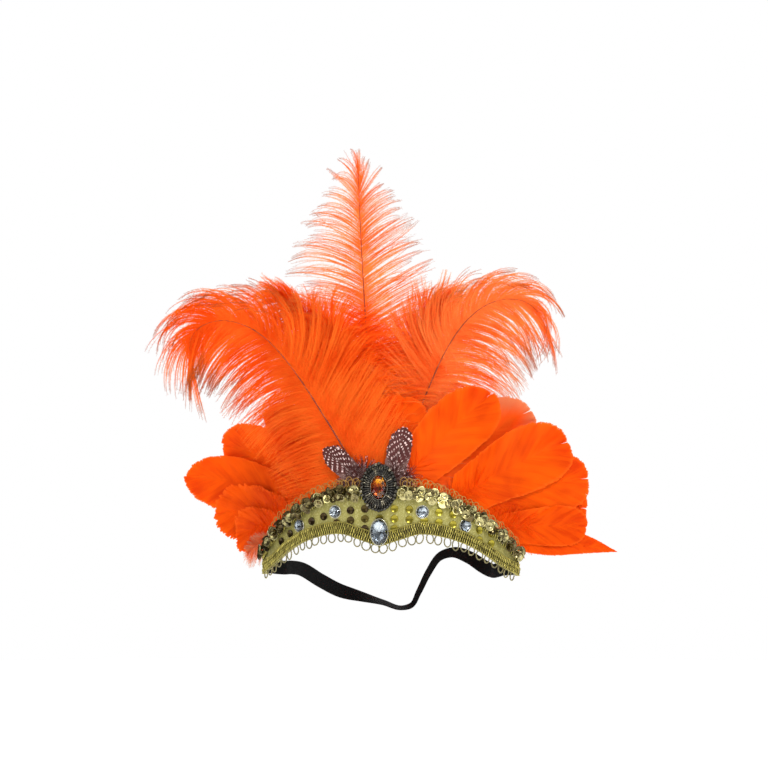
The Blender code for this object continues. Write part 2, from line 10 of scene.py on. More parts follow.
import bpy
import numpy as np
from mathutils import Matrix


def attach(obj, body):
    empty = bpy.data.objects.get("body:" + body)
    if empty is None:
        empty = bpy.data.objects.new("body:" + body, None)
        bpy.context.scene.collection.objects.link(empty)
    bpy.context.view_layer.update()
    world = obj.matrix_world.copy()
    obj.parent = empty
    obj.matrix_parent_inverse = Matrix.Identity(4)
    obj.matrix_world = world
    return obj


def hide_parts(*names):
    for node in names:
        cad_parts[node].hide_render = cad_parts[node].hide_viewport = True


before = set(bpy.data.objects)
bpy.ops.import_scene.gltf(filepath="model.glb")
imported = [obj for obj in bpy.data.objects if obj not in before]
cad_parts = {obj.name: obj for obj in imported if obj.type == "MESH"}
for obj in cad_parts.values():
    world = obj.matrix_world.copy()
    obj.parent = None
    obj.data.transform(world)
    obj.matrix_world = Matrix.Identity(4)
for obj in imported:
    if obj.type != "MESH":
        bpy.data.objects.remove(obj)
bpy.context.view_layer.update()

# Band, braid and trim
band_radius = 0.102
band_half_angle = 62.0
band_height = 0.042
band_wall = 0.002
clearance = 0.0003
braid_height = 0.008
braid_thickness = 0.0016
trim_height = 0.0095
trim_thickness = 0.0012
trim_loops = 46
trim_loop_width = 0.0046
trim_loop_wire = 0.00024
tall_loop = 0.0062
low_loop = 0.0050
brooch_gap = 9.0
picot_loops = 34
picot_width = 0.0050
picot_height = 0.0062
picot_wire = 0.00029
picot_coil = 0.00024
picot_twist = 1.9
stitch_pitch = 0.00162
stitch_jitter = 0.00008
cord_radius = 0.00024
cord_offset = 0.00028
cord_twist = 0.0021
loop_points = 26
loop_opening = 0.28
cloth_pucker = 0.00018

# Foil dots of the cloth and cup sequins of the trim
dot_radius = 0.00270
dot_pitch_angle = 5.75
dot_row_pitch = 0.0070
dot_top_height = 0.0054
dot_bend_left = 0.0000118
dot_bend_right = 0.0000055
sequin_radius = 0.0032
ruffle_clusters = 25
sequins_in_cluster = 5
sequin_fan = 17.0
sequin_tilt = 15.0
sequin_stray = 0.0004
cluster_half_width = 0.0026
cluster_half_height = 0.0027
full_bright_share = 0.14
# Angle past which the sequins' painted reflection fades, and no full-bright sequins are set
reflection_fade_angle = 44.0

# Stones and brooch
stone_diameter = 0.0082
stone_depth = 0.0026
centre_stone_width = 0.0118
centre_stone_height = 0.0180
centre_stone_depth = 0.0040
brooch_width = 0.0266
brooch_height = 0.0343
brooch_lift = 0.0203
brooch_plate = 0.0016
brooch_room = 0.0008
brooch_stone_width = 0.0112
brooch_stone_height = 0.0168
brooch_stone_depth = 0.0052
rim_bead_radius = 0.00125
rim_beads = 36
bead_inset = 0.0012
bugle_radius = 0.00052
bugle_bore = 0.00030
bugles = 46
lower_bugles = 40
rim_lift = 0.0003
rim_wire = 0.00034
# Strength of the brooch stone's painted glint on each ring of its back, from the outside in
glint_rings = (1.0, 0.8, 0.0, 0.0)

# Feathers
feather_thickness = 0.0010
layer_gap = 0.0009
plume_length = 0.246
barb_length = 0.056
broad_length = 0.100
broad_half_width = 0.024
broad_splay = 45.0
guinea_length = 0.048
guinea_half_width = 0.0085
guinea_splay = 38.0
down_length = 0.042
down_half_width = 0.018
quill_half_width = 0.0020
lean_back = 0.10
tip_curl = 0.055
curl_start = 0.120
fan_height = 0.255
layer_spread = 1.3
spread_reach = 0.080
fan_centre_drop = 0.080
fan_turn_off = 0.85
fan_ease = 0.15
fan_side_slope = 0.45
fan_flattening = 0.5
splay_ebb = 0.4
tip_closing = 12
shortest_barb = 0.45
longest_barb = 1.2
loose_share = 0.11
loose_pull = 0.2
sag_spread = 0.12
widest_gap = 0.0016
barbule_turn = 46.0
barbule_stray = 9.0
barbule_lift = 38.0
guinea_forward = 0.0022
plume_quill = 0.00080
broad_quill = 0.00034
quill_taper = 0.85
first_feather_seed = 100

# Strap
strap_width = 0.0100
strap_thickness = 0.0010
strap_depth = 0.094
strap_drop = 0.0714
strap_tab_angles = (61.0, 58.0, 55.0, 54.0)
strap_tab_height = 0.0045
strap_ribs = 9
strap_rib_height = 0.00009

# Picture: the camera's place round the object, its distance and the width that it takes in there
light_aim = (0.0, 0.03, 0.09)
camera_azimuth = 8.0
camera_distance = 2.4
picture_width = 0.5376
picture_centre = (0.0028, 0.0924)
floor_drop = 0.34
floor_radius = 3.0
sensor_width = 36.0

braid_seat = band_wall + clearance
ground_lift = 0.0002
brooch_seat = band_wall + trim_thickness + brooch_plate + 3 * clearance

BandEdge = namedtuple("BandEdge", "angle lower upper")
BAND_EDGES = [
    BandEdge(0.00, -0.500, 0.500),
    BandEdge(0.13, -0.385, 0.495),
    BandEdge(0.24, -0.300, 0.482),
    BandEdge(0.32, -0.307, 0.445),
    BandEdge(0.40, -0.350, 0.374),
    BandEdge(0.55, -0.476, 0.174),
    BandEdge(0.69, -0.657, -0.033),
    BandEdge(0.84, -0.880, -0.300),
    BandEdge(1.00, -1.040, -0.620),
]

Stone = namedtuple("Stone", "name angle")
ROUND_STONES = [
    Stone("band_stone_left_outer", -35.0),
    Stone("band_stone_left_inner", -18.0),
    Stone("band_stone_right_inner", 16.5),
    Stone("band_stone_right_outer", 34.0),
]

# One row for each feather: see the columns' use in spine_at and barb_paths
Feather = namedtuple("Feather", "name kind root height length lean curl power left right "
                                "splay sag_left sag_right layer")
FEATHERS = [
    Feather("guinea_feather_left", "guinea", -4.0, 0.84, 0.82, -38, -14, 1.0, 1.00, 1.00, 38, 0.10, 0.10, 0),
    Feather("guinea_feather_right", "guinea", 4.0, 0.78, 0.90, 8, 6, 1.0, 1.00, 1.00, 38, 0.10, 0.10, 0),
    Feather("plume_left", "plume", -1.5, 0.76, 0.88, -34, -150, 5.1, 1.06, 0.62, 52, 0.55, 0.30, 1),
    Feather("broad_feather_right_1", "broad", -2.4, 0.78, 0.64, 12, 8, 1.5, 0.80, 0.90, 45, 0.10, 0.10, 2),
    Feather("plume_front", "plume", -2.6, 0.76, 0.50, -13, -8, 2.0, 0.84, 0.84, 42, 0.40, 0.40, 3),
    Feather("plume_right", "plume", 1.8, 0.76, 0.79, 19.4, 128, 5.0, 0.66, 1.00, 52, 0.30, 0.62, 3),
    Feather("plume_centre", "spire", -1.2, 0.76, 0.955, -6.8, 10.5, 1.8, 0.98, 0.98, 50, 0.40, 0.20, 4),
    Feather("plume_back_left", "plume", -2.9, 0.76, 0.67, -16, -34, 2.0, 0.84, 0.46, 44, 0.35, 0.30, 5),
    Feather("plume_back_right", "plume", 0.8, 0.76, 0.59, 7, 28, 2.5, 0.50, 0.84, 46, 0.30, 0.40, 5),
    Feather("broad_feather_right_2", "broad", 4.4, 0.76, 0.92, 37, 10, 1.5, 0.86, 0.92, 45, 0.10, 0.15, 1),
    Feather("broad_feather_right_3", "broad", 12.5, 0.74, 0.90, 45, 12, 1.5, 0.94, 0.94, 45, 0.10, 0.15, 2),
    Feather("broad_feather_right_4", "broad", 27, 0.74, 0.80, 54, 12, 1.5, 0.98, 0.98, 45, 0.10, 0.15, 0),
    Feather("broad_feather_right_5", "broad", 33, 0.70, 0.76, 66, 14, 1.5, 0.94, 0.94, 45, 0.10, 0.15, 1),
    Feather("broad_feather_right_6", "broad", 38, 0.66, 0.66, 77, 12, 1.5, 0.80, 0.80, 42, 0.10, 0.15, 2),
    Feather("broad_feather_right_7", "broad", 43, 0.62, 0.60, 85, 8, 1.5, 0.72, 0.70, 40, 0.10, 0.10, 0),
    Feather("broad_feather_right_8", "broad", 45, 0.44, 0.90, 93, 9, 1.5, 0.66, 0.46, 36, 0.10, 0.10, 1),
    Feather("broad_feather_left_1", "broad", -5.2, 0.76, 0.94, -47, -12, 1.5, 0.90, 0.80, 45, 0.10, 0.10, 2),
    Feather("broad_feather_left_2", "broad", -23, 0.72, 0.92, -59, -14, 1.5, 0.84, 0.94, 45, 0.15, 0.10, 4.3),
    Feather("broad_feather_left_3", "broad", -30, 0.70, 1.05, -72, -14, 1.5, 0.92, 0.80, 45, 0.15, 0.10, 3),
    Feather("broad_feather_left_4", "broad", -38, 0.66, 0.60, -79, -14, 1.5, 0.90, 0.84, 42, 0.15, 0.10, 2),
    Feather("broad_feather_left_5", "broad", -44, 0.60, 0.35, -82, -20, 1.5, 0.76, 0.70, 40, 0.15, 0.10, 1),
    Feather("down_tuft_left", "down", -50, 0.66, 0.76, -92, -46, 1.2, 0.90, 0.50, 50, 0.45, 0.10, 0),
]

# One row for each kind: full length of the feather and of its barbs, and the share where the barbs start
broad_barb = broad_half_width / math.sin(math.radians(broad_splay))
guinea_barb = guinea_half_width / math.sin(math.radians(guinea_splay))
Kind = namedtuple("Kind", "length barb vane_start finish slot")
KINDS = {
    "spire": Kind(plume_length, barb_length, 0.08, "ostrich_orange", "orange_plume"),
    "plume": Kind(plume_length, barb_length, 0.03, "ostrich_orange", "orange_plume"),
    "broad": Kind(0.95 * broad_length, broad_barb, 0.02, "broad_orange", "orange_feather"),
    "guinea": Kind(guinea_length, guinea_barb, 0.16, "guinea_spots", "guinea"),
    "guinea_down": Kind(guinea_length, 0.014, 0.02, "guinea_spots", "guinea"),
    "broad_down": Kind(broad_length, 0.016, 0.02, "broad_orange", "orange_feather"),
    "down": Kind(down_length, down_half_width, 0.10, "pale_fluff", "pale_down"),
}

# How each kind's barbs are made. Barbs on each side, points along one, its width, how much wider than
# their spacing they are at least; opening added to the splay, stray angle, unevenness of length; size of a
# lock, how far its barbs draw together, how far it bends away, its depth; share of the full length that the
# lowest barbs have, sharpness of the rounding towards the tip, length there, where the longest are; barbules
# on a barb, their length and width; cup and ripple of the vane, roll of a barb, and how much sparser an open
# vane gets towards its tip.
Look = namedtuple("Look", "barbs points width cover open stray ragged lock lock_pull lock_bend lock_depth "
                          "foot round_off tip fullest barbules barbule_length barbule_width cup ripple roll "
                          "thinning", defaults=(0.72,))
LOOKS = {
    "spire": Look(430, 14, 0.00036, 0.0, 12, 2.6, 0.15, 5, 0.72, 13, 0.0045,
                  0.60, 1.5, 0.20, 0.58, 66, 0.0035, 0.00029, 0.0, 0.0, 30),
    "plume": Look(520, 14, 0.00046, 0.0, 10, 2.0, 0.14, 5, 0.50, 14, 0.0045,
                  0.92, 1.9, 0.78, 0.40, 84, 0.0038, 0.00036, 0.0, 0.0, 26),
    "full_plume": Look(560, 14, 0.00054, 0.0, 10, 2.0, 0.14, 5, 0.36, 12, 0.0045,
                       0.92, 1.9, 0.78, 0.40, 90, 0.0044, 0.00042, 0.0, 0.0, 26),
    "fluff": Look(520, 13, 0.00056, 0.0, 24, 4.0, 0.13, 4, 0.42, 16, 0.0045,
                  0.80, 2.6, 0.64, 0.45, 60, 0.0042, 0.00034, 0.0, 0.0, 36, 1.0),
    "broad": Look(220, 13, 0.00040, 2.4, 0, 0.3, 0.010, 7, 0.10, 0.5, 0.0002,
                  0.66, 2.4, 0.40, 0.60, 0, 0.0, 0.0, 0.0030, 0.0010, 4),
    "blade": Look(240, 13, 0.00036, 2.0, 0, 0.3, 0.008, 7, 0.10, 0.4, 0.0002,
                  0.70, 1.15, 0.02, 0.34, 0, 0.0, 0.0, 0.0016, 0.0006, 4),
    "soft_broad": Look(220, 13, 0.00034, 2.2, 0, 0.5, 0.028, 4, 0.10, 1.0, 0.0003,
                       0.74, 2.2, 0.50, 0.55, 14, 0.0020, 0.00018, 0.0020, 0.0008, 8),
    "broad_down": Look(70, 9, 0.00040, 0.0, 26, 7.0, 0.16, 3, 0.35, 18, 0.0008,
                       0.80, 1.8, 0.70, 0.50, 24, 0.0026, 0.00034, 0.0, 0.0, 40),
    "guinea": Look(80, 9, 0.00030, 1.9, 0, 0.6, 0.03, 5, 0.20, 1.5, 0.0001,
                   0.75, 2.2, 0.50, 0.60, 8, 0.0008, 0.00012, 0.0005, 0.0, 6),
    "guinea_down": Look(90, 9, 0.00026, 0.0, 18, 9.0, 0.22, 3, 0.30, 26, 0.0010,
                        0.60, 1.6, 0.60, 0.45, 44, 0.0021, 0.00021, 0.0, 0.0, 40),
    "down": Look(150, 10, 0.00022, 0.0, 0, 7.0, 0.22, 4, 0.45, 20, 0.0020,
                 0.50, 1.5, 0.50, 0.50, 56, 0.0026, 0.00018, 0.0, 0.0, 40),
}
OWN_LOOKS = {
    "plume_left": "full_plume",
    "broad_feather_left_1": "soft_broad",
    "plume_front": "fluff",
    "plume_back_left": "fluff",
    "plume_back_right": "fluff",
    "broad_feather_left_4": "soft_broad",
    "broad_feather_left_5": "soft_broad",
    "broad_feather_right_8": "blade",
}

# How far the quill lies behind its layer's front, by kind or own look
QUILL_DEPTHS = {"guinea": -0.0021, "broad": 0.0012, "fluff": 0.0016}
OWN_QUILLS = dict.fromkeys(("plume_left", "plume_centre", "plume_right"), "orange_quill")
OWN_FINISHES = {
    "plume_centre": "ostrich_light",
    "plume_right": "ostrich_light",
    "broad_feather_right_3": "broad_pale",
    "plume_front": "ostrich_soft",
    "plume_back_left": "ostrich_soft",
    "plume_back_right": "ostrich_pale",
}

# How far the barbs of a plume sweep round with its curl, in degrees, on the left and the right side, how much
# longer than their solid's they are, and the share of the sweep that is left at the tip
Sweep = namedtuple("Sweep", "left right longer_left longer_right at_tip", defaults=(1.0,))
SWEEPS = {
    "plume_left": Sweep(-12, -100, 1.00, 1.55, 0.0),
    "plume_right": Sweep(104, 26, 1.30, 1.00),
    "plume_front": Sweep(-34, 38, 1.20, 1.15),
    "plume_centre": Sweep(-18, 6, 0.98, 0.90),
    "plume_back_left": Sweep(-50, -20, 0.80, 1.20),
    "plume_back_right": Sweep(25, 60, 1.25, 0.85),
}

StrapPoint = namedtuple("StrapPoint", "x y z roll")
STRAP_ROUTE = [
    StrapPoint(-0.845, 0.450, -0.545, 0),
    StrapPoint(-0.790, 0.550, -0.550, 4),
    StrapPoint(-0.730, 0.680, -0.578, 10),
    StrapPoint(-0.600, 0.810, -0.700, 10),
    StrapPoint(-0.460, 0.905, -0.806, 18),
    StrapPoint(-0.300, 0.960, -0.868, 48),
    StrapPoint(-0.120, 0.990, -0.931, 74),
    StrapPoint(0.030, 1.000, -0.985, 76),
    StrapPoint(0.105, 1.000, -0.960, 68),
    StrapPoint(0.168, 0.995, -0.823, 62),
    StrapPoint(0.247, 0.975, -0.627, 58),
    StrapPoint(0.350, 0.910, -0.455, 56),
    StrapPoint(0.464, 0.830, -0.405, 52),
    StrapPoint(0.620, 0.700, -0.450, 34),
    StrapPoint(0.740, 0.600, -0.530, 16),
    StrapPoint(0.805, 0.520, -0.560, 4),
    StrapPoint(0.850, 0.445, -0.560, 0),
]


# Curves and directions

def ease(value):
    """Smooth step from 0 to 1."""
    value = np.clip(value, 0.0, 1.0)
    return value * value * (3 - 2 * value)


def smooth_read(places, values, at):
    """Reads a smooth curve through the values: cubic pieces, each slope the mean of its neighbours'."""
    places, values, at = (np.asarray(item, dtype=float) for item in (places, values, at))
    slopes = np.gradient(values, places)
    piece = np.clip(np.searchsorted(places, at, side="right") - 1, 0, len(places) - 2)
    width = places[piece + 1] - places[piece]
    t = (at - places[piece]) / width
    return ((1 + 2 * t) * (1 - t) ** 2 * values[piece] + t * (1 - t) ** 2 * width * slopes[piece]
            + t * t * (3 - 2 * t) * values[piece + 1] + t * t * (t - 1) * width * slopes[piece + 1])


def stacked(*values):
    """Points from their values along each axis, each of which may stand for a whole row."""
    return np.stack(np.broadcast_arrays(*values), axis=-1)


def unit(vectors):
    """The same directions with a length of one."""
    return vectors / np.maximum(np.linalg.norm(vectors, axis=-1, keepdims=True), 1e-12)


def along_path(paths):
    """Direction along each path, from one point to the next."""
    return unit(np.gradient(paths, axis=-2))


def square_to(direction, guide):
    """The guide with its share along the direction taken out."""
    return unit(guide - np.sum(guide * direction, axis=-1, keepdims=True) * direction)


# Places on the band

def band_edge(angle, column):
    """Height of the band's lower or upper edge at an angle, the same on both sides."""
    share = np.abs(np.asarray(angle, dtype=float)) / band_half_angle
    rows = [row.angle for row in BAND_EDGES]
    return band_height * smooth_read(rows, [getattr(row, column) for row in BAND_EDGES], share)


def band_point(angle, height, out):
    """Point at an angle and height, the distance out from the band's inner face."""
    turn = np.radians(angle)
    radius = band_radius + out
    depth = band_radius - radius * np.cos(turn)
    return stacked(radius * np.sin(turn), depth, height)


def band_axes(angle):
    """Directions across, up and outwards at an angle of the band."""
    turn = np.radians(angle)
    zero = 0 * turn
    across = np.stack([np.cos(turn), np.sin(turn), zero], axis=-1)
    up = np.stack([zero, zero, zero + 1], axis=-1)
    outward = np.stack([np.sin(turn), -np.cos(turn), zero], axis=-1)
    return across, up, outward


def trim_fit(angle):
    """Shrinks the braid and the trim where the band is too low for both."""
    room = band_edge(angle, "upper") - band_edge(angle, "lower")
    return np.minimum(1.0, room / (braid_height + trim_height + 2 * clearance))


def angle_span(length):
    """Angle in degrees of a length along the band."""
    return np.degrees(length / band_radius)


def window_middle(angle):
    """Height halfway between the braid and the trim."""
    fit = trim_fit(angle)
    low = band_edge(angle, "lower") + braid_height * fit
    high = band_edge(angle, "upper") - trim_height * fit
    return (low + high) / 2


# Meshes from arrays

BOTH_ENDS = (0, -1)


def tubes(paths, radii, guide, sides):
    """Rings of points round a batch of paths: path + radius x (cos a x side + sin a x lift)."""
    direction = along_path(paths)
    lift = square_to(direction, np.broadcast_to(guide, paths.shape))
    side = np.cross(lift, direction)
    angles = 2 * np.pi * np.arange(sides) / sides
    reach = np.broadcast_to(radii, paths.shape[:-1])[..., None, None]
    ring = np.cos(angles)[:, None] * side[..., None, :] + np.sin(angles)[:, None] * lift[..., None, :]
    return paths[..., None, :] + reach * ring


def mixed_tones(dice, middle, spread, darkest, count):
    """A tone for each of a batch of grids, scattered round a middle one."""
    return np.clip(dice.normal(middle, spread, count), darkest, 1)[:, None, None]


class Shape:
    """Gathers grids, strips and triangles for one piece, with a pattern place and a tone for each point."""

    def __init__(self):
        self.count = 0
        self.points = []
        self.places = []
        self.tones = []
        self.quads = []
        self.triangles = []
        self.quad_looks = []
        self.triangle_looks = []

    def add_points(self, points, places, tones):
        """Keeps points with their pattern places and tones, and returns the number of the first."""
        first = self.count
        points = np.asarray(points, dtype=float)
        shape = points.shape[:-1]
        self.points.append(points.reshape(-1, 3))
        self.places.append(np.broadcast_to(places, shape + (2,)).reshape(-1, 2))
        self.tones.append(np.broadcast_to(tones, shape).reshape(-1))
        self.count += int(np.prod(shape))
        return first

    def add_grids(self, points, places=(0.0, 0.0), tones=0.5, ring=False, loop=False, caps=(), look=0,
                  smooth=True):
        """A batch of grids (batch, rows, columns, 3).

        A ring closes each row on itself, a loop joins the last row to the first, and caps close the ends that
        they name.
        """
        batch, rows, columns = points.shape[:3]
        first = self.add_points(points, places, tones)
        grid = first + np.arange(batch * rows * columns).reshape(batch, rows, columns)
        grid = np.concatenate([grid, grid[:, :1]], axis=1) if loop else grid
        right = np.roll(grid, -1, axis=2) if ring else grid[:, :, 1:]
        left = grid if ring else grid[:, :, :-1]
        quads = np.stack([left[:, :-1], right[:, :-1], right[:, 1:], left[:, 1:]], axis=-1).reshape(-1, 4)
        self.quads.append(quads)
        self.quad_looks.append(np.tile([look, smooth], (len(quads), 1)))
        for end in caps:
            middles = points[:, end].mean(axis=1)
            place = np.broadcast_to(places, points.shape[:-1] + (2,))[:, end].mean(axis=1)
            tone = np.broadcast_to(tones, points.shape[:-1])[:, end].mean(axis=1)
            hub = self.add_points(middles, place, tone) + np.arange(batch)[:, None]
            rim = grid[:, end]
            pair = [np.roll(rim, -1, axis=1), rim][::-1 if end else 1]
            made = np.stack([pair[0], pair[1], np.broadcast_to(hub, rim.shape)], axis=-1).reshape(-1, 3)
            self.triangles.append(made)
            self.triangle_looks.append(np.tile([look, smooth], (len(made), 1)))

    def add_tubes(self, paths, radii, guide, sides, tones=0.5, stretch=1, look=0):
        """Closed tubes along a batch of paths, with pattern places once round across and the share along."""
        batch, rows = paths.shape[:2]
        across = np.broadcast_to(np.arange(sides) / sides, (batch, rows, sides))
        along = np.broadcast_to((np.arange(rows) / (rows - 1))[:, None] * stretch, (batch, rows, sides))
        places = np.stack([across, along], axis=-1)
        self.add_grids(tubes(paths, radii, guide, sides), places, tones, ring=True, caps=BOTH_ENDS, look=look)

    def add_triangles(self, points, places, tones):
        """Loose triangles (batch, 3, 3)."""
        first = self.add_points(points, places, tones)
        made = first + np.arange(len(points) * 3).reshape(-1, 3)
        self.triangles.append(made)
        self.triangle_looks.append(np.tile([0, True], (len(made), 1)))

    def make(self, name, finishes, slot, *nodes):
        """Puts the arrays into a mesh, rides it on the root body and hides the solids of the nodes that it
        stands for.
        """
        quads = np.concatenate(self.quads) if self.quads else np.zeros((0, 4), int)
        triangles = np.concatenate(self.triangles) if self.triangles else np.zeros((0, 3), int)
        looks = np.concatenate(self.quad_looks + self.triangle_looks)
        corners = np.concatenate([quads.ravel(), triangles.ravel()]).astype(np.int32)
        starts = np.concatenate([4 * np.arange(len(quads)), 4 * len(quads) + 3 * np.arange(len(triangles))])
        mesh = bpy.data.meshes.new(name)
        mesh.vertices.add(self.count)
        mesh.vertices.foreach_set("co", np.concatenate(self.points).astype(np.float32).ravel())
        mesh.loops.add(len(corners))
        mesh.loops.foreach_set("vertex_index", corners)
        mesh.polygons.add(len(starts))
        mesh.polygons.foreach_set("loop_start", starts.astype(np.int32))
        mesh.polygons.foreach_set("material_index", looks[:, 0].astype(np.int32))
        mesh.polygons.foreach_set("use_smooth", looks[:, 1].astype(bool))
        layer = mesh.uv_layers.new(name="UVMap")
        layer.uv.foreach_set("vector", np.concatenate(self.places)[corners].astype(np.float32).ravel())
        tone = mesh.attributes.new("tone", "FLOAT", "POINT")
        tone.data.foreach_set("value", np.concatenate(self.tones).astype(np.float32))
        mesh.update(calc_edges=True)
        for finish in finishes:
            mesh.materials.append(FINISHES[finish])
        piece = bpy.data.objects.new(name, mesh)
        bpy.context.scene.collection.objects.link(piece)
        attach(piece, "root")
        if nodes:
            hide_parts(*nodes)


# Shader helpers

class Nodes:
    """Places the nodes of one tree. Each method returns the socket with its result."""

    def __init__(self, tree):
        self.tree = tree

    def link(self, result, target):
        """Joins an output to an input."""
        self.tree.links.new(result, target)

    def put(self, kind, settings=None, **inputs):
        """Places a node and returns its outputs.

        An input is linked if it is given a socket and set if it is given a value. i0, i1 are inputs by
        number, and colours are given without their fourth value.
        """
        made = self.tree.nodes.new("ShaderNode" + kind)
        for key, value in (settings or {}).items():
            setattr(made, key, value)
        for key, value in inputs.items():
            socket = made.inputs[int(key[1:]) if key[1:].isdigit() else key.replace("_", " ")]
            if isinstance(value, bpy.types.NodeSocket):
                self.link(value, socket)
            else:
                socket.default_value = (*value, 1) if socket.type == "RGBA" else value
        return made.outputs

    def math(self, operation, *values):
        """Result of a sum of sockets or numbers."""
        inputs = {f"i{number}": value for number, value in enumerate(values)}
        return self.put("Math", {"operation": operation}, **inputs)[0]

    def times(self, first, second):
        """First times second."""
        return self.math("MULTIPLY", first, second)

    def plus(self, first, second):
        """First plus second."""
        return self.math("ADD", first, second)

    def minus(self, first, second):
        """First minus second."""
        return self.math("SUBTRACT", first, second)

    def clamp(self, value):
        """The value, kept from 0 to 1."""
        return self.put("Clamp", i0=value)[0]

    def wave(self, turns):
        """Sine of a number of turns."""
        return self.math("SINE", self.times(turns, 2 * math.pi))

    def blend(self, share, first, second):
        """Colour between two, by a share."""
        return self.put("Mix", {"data_type": "RGBA"}, i0=share, i6=first, i7=second)[2]

    def step(self, value, low, high):
        """Smooth step of a value from 0 at low to 1 at high."""
        return self.put("MapRange", {"interpolation_type": "SMOOTHSTEP"}, i0=value, i1=low, i2=high)[0]

    def pattern(self):
        """Pattern place: across and along."""
        return self.put("SeparateXYZ", i0=self.put("UVMap", {"uv_map": "UVMap"})[0])[:2]

    def tone(self):
        """Tone that is kept with each point."""
        return self.put("Attribute", {"attribute_name": "tone"})["Fac"]

    def noise(self, scale, detail):
        """Cloudy noise in the object's own space."""
        return self.put("TexNoise", Vector=self.put("TexCoord")["Object"], Scale=scale, Detail=detail)[0]

    def bump(self, height, strength):
        """Normal from a height of 0.2 mm."""
        return self.put("Bump", Height=height, Strength=strength, Distance=0.0002)[0]

    def group(self, name, **inputs):
        """Outputs of one of the shared groups, with its own values."""
        return self.put("Group", {"node_tree": GROUPS[name]}, **inputs)

    def surface(self, colour, roughness, **inputs):
        """Surface of a colour, with what else is given."""
        return self.put("BsdfPrincipled", Base_Color=colour, Roughness=roughness, **inputs)[0]


def new_group(name, results, **usual):
    """Empty node group: its nodes, its inputs with their usual values, and its results."""
    tree = bpy.data.node_groups.new(name, "ShaderNodeTree")
    for label, value in usual.items():
        coloured = isinstance(value, tuple)
        kind = "NodeSocketColor" if coloured else "NodeSocketFloat"
        socket = tree.interface.new_socket(label.replace("_", " "), in_out="INPUT", socket_type=kind)
        socket.default_value = (*value, 1) if coloured else value
    for label in results:
        kind = "NodeSocketColor" if label == "Color" else "NodeSocketFloat"
        tree.interface.new_socket(label, in_out="OUTPUT", socket_type=kind)
    return Nodes(tree), tree.nodes.new("NodeGroupInput").outputs, tree.nodes.new("NodeGroupOutput").inputs


def dyed_strands():
    """Colour of dyed barbs: from root to tip, with a tone for each barb, cloudy patches of deeper dye and
    streaks of painted fold shade.
    """
    nodes, given, out = new_group("dyed_strands", ["Color"], Deep=(0.6, 0.05, 0.0), Bright=(1.0, 0.2, 0.03),
                                  Tip=(0.8, 0.3, 0.15), Tip_Start=0.6, Patch_Size=30.0, Patch_Strength=0.5,
                                  Strand_Strength=0.3, Fold_Strength=0.0, Tip_From=-1.0)
    across, along = nodes.pattern()
    reach = nodes.math("ABSOLUTE", nodes.times(nodes.minus(across, 0.5), 2.0))
    cloud = nodes.step(nodes.noise(given["Patch Size"], 2.0), 0.35, 0.65)
    patch = nodes.times(cloud, given["Patch Strength"])
    streak = nodes.times(nodes.minus(nodes.tone(), 0.5), given["Strand Strength"])
    # Painted fold shade: streaky noise along the barbs darkens the colour towards Deep where the vane would
    # fold
    lines = nodes.put("CombineXYZ", i0=nodes.times(across, 1.6), i1=nodes.times(along, 11.0))[0]
    fold = nodes.put("TexNoise", Vector=lines, Scale=1.0, Detail=3.0, Roughness=0.55)[0]
    fold = nodes.times(nodes.step(fold, 0.36, 0.68), given["Fold Strength"])
    dye_and_fold_shade = nodes.clamp(nodes.plus(nodes.plus(patch, streak), fold))
    body = nodes.blend(dye_and_fold_shade, given["Bright"], given["Deep"])
    past = nodes.clamp(nodes.times(nodes.minus(along, given["Tip From"]), 4.0))
    tipped = nodes.times(nodes.step(reach, given["Tip Start"], 1.05), past)
    nodes.link(nodes.blend(tipped, body, given["Tip"]), out["Color"])
    return nodes.tree


def spun_thread():
    """Metal thread wound round a core: slanted windings, painted shade in the grooves between them, and a
    tone for each thread.
    """
    nodes, given, out = new_group("spun_thread", ["Color", "Height", "Roughness"], Bright=(0.7, 0.6, 0.2),
                                  Dark=(0.1, 0.08, 0.02), Windings=40.0, Slant=2.0)
    across, along = nodes.pattern()
    turns = nodes.plus(nodes.times(along, given["Windings"]), nodes.times(across, given["Slant"]))
    crest = nodes.math("MULTIPLY_ADD", nodes.wave(turns), 0.5, 0.5)
    worn = nodes.plus(nodes.times(nodes.tone(), 0.7), nodes.times(nodes.noise(260.0, 3.0), 0.6))
    # crest x 0.6 + 0.4 darkens the thread between its windings, which is painted shade in the grooves; worn
    # is each thread's tone and wear
    shade = nodes.clamp(nodes.times(nodes.plus(nodes.times(crest, 0.6), 0.4), worn))
    nodes.link(nodes.blend(shade, given["Dark"], given["Bright"]), out["Color"])
    nodes.link(crest, out["Height"])
    nodes.link(nodes.minus(0.5, nodes.times(shade, 0.22)), out["Roughness"])
    return nodes.tree


def fine_weave():
    """Warp and weft on the pattern places: crossing half-round threads, and a fleck that catches on some."""
    nodes, given, out = new_group("fine_weave", ["Height", "Fleck"], Across=300.0, Along=60.0, Fleck=900.0)
    across, along = nodes.pattern()
    warp = nodes.wave(nodes.times(across, given["Across"]))
    weft = nodes.wave(nodes.times(along, given["Along"]))
    nodes.link(nodes.times(warp, weft), out["Height"])
    nodes.link(nodes.step(nodes.noise(given["Fleck"], 1.0), 0.5, 0.7), out["Fleck"])
    return nodes.tree


def worn_foil():
    """Metal foil: a tone for each sequin from dark to bright, in part painted reflection and glints, with
    fine crazing and cloudy wear.
    """
    nodes, given, out = new_group("worn_foil", ["Color", "Roughness"], Dark=(0.1, 0.07, 0.02),
                                  Bright=(0.9, 0.8, 0.3), Wear=0.3)
    cloud = nodes.noise(420.0, 3.0)
    shade = nodes.clamp(nodes.plus(nodes.tone(), nodes.times(nodes.minus(cloud, 0.5), given["Wear"])))
    nodes.link(nodes.blend(shade, given["Dark"], given["Bright"]), out["Color"])
    nodes.link(nodes.plus(0.14, nodes.times(cloud, 0.22)), out["Roughness"])
    return nodes.tree


GROUPS = {make.__name__: make() for make in (dyed_strands, spun_thread, fine_weave, worn_foil)}


# Finishes

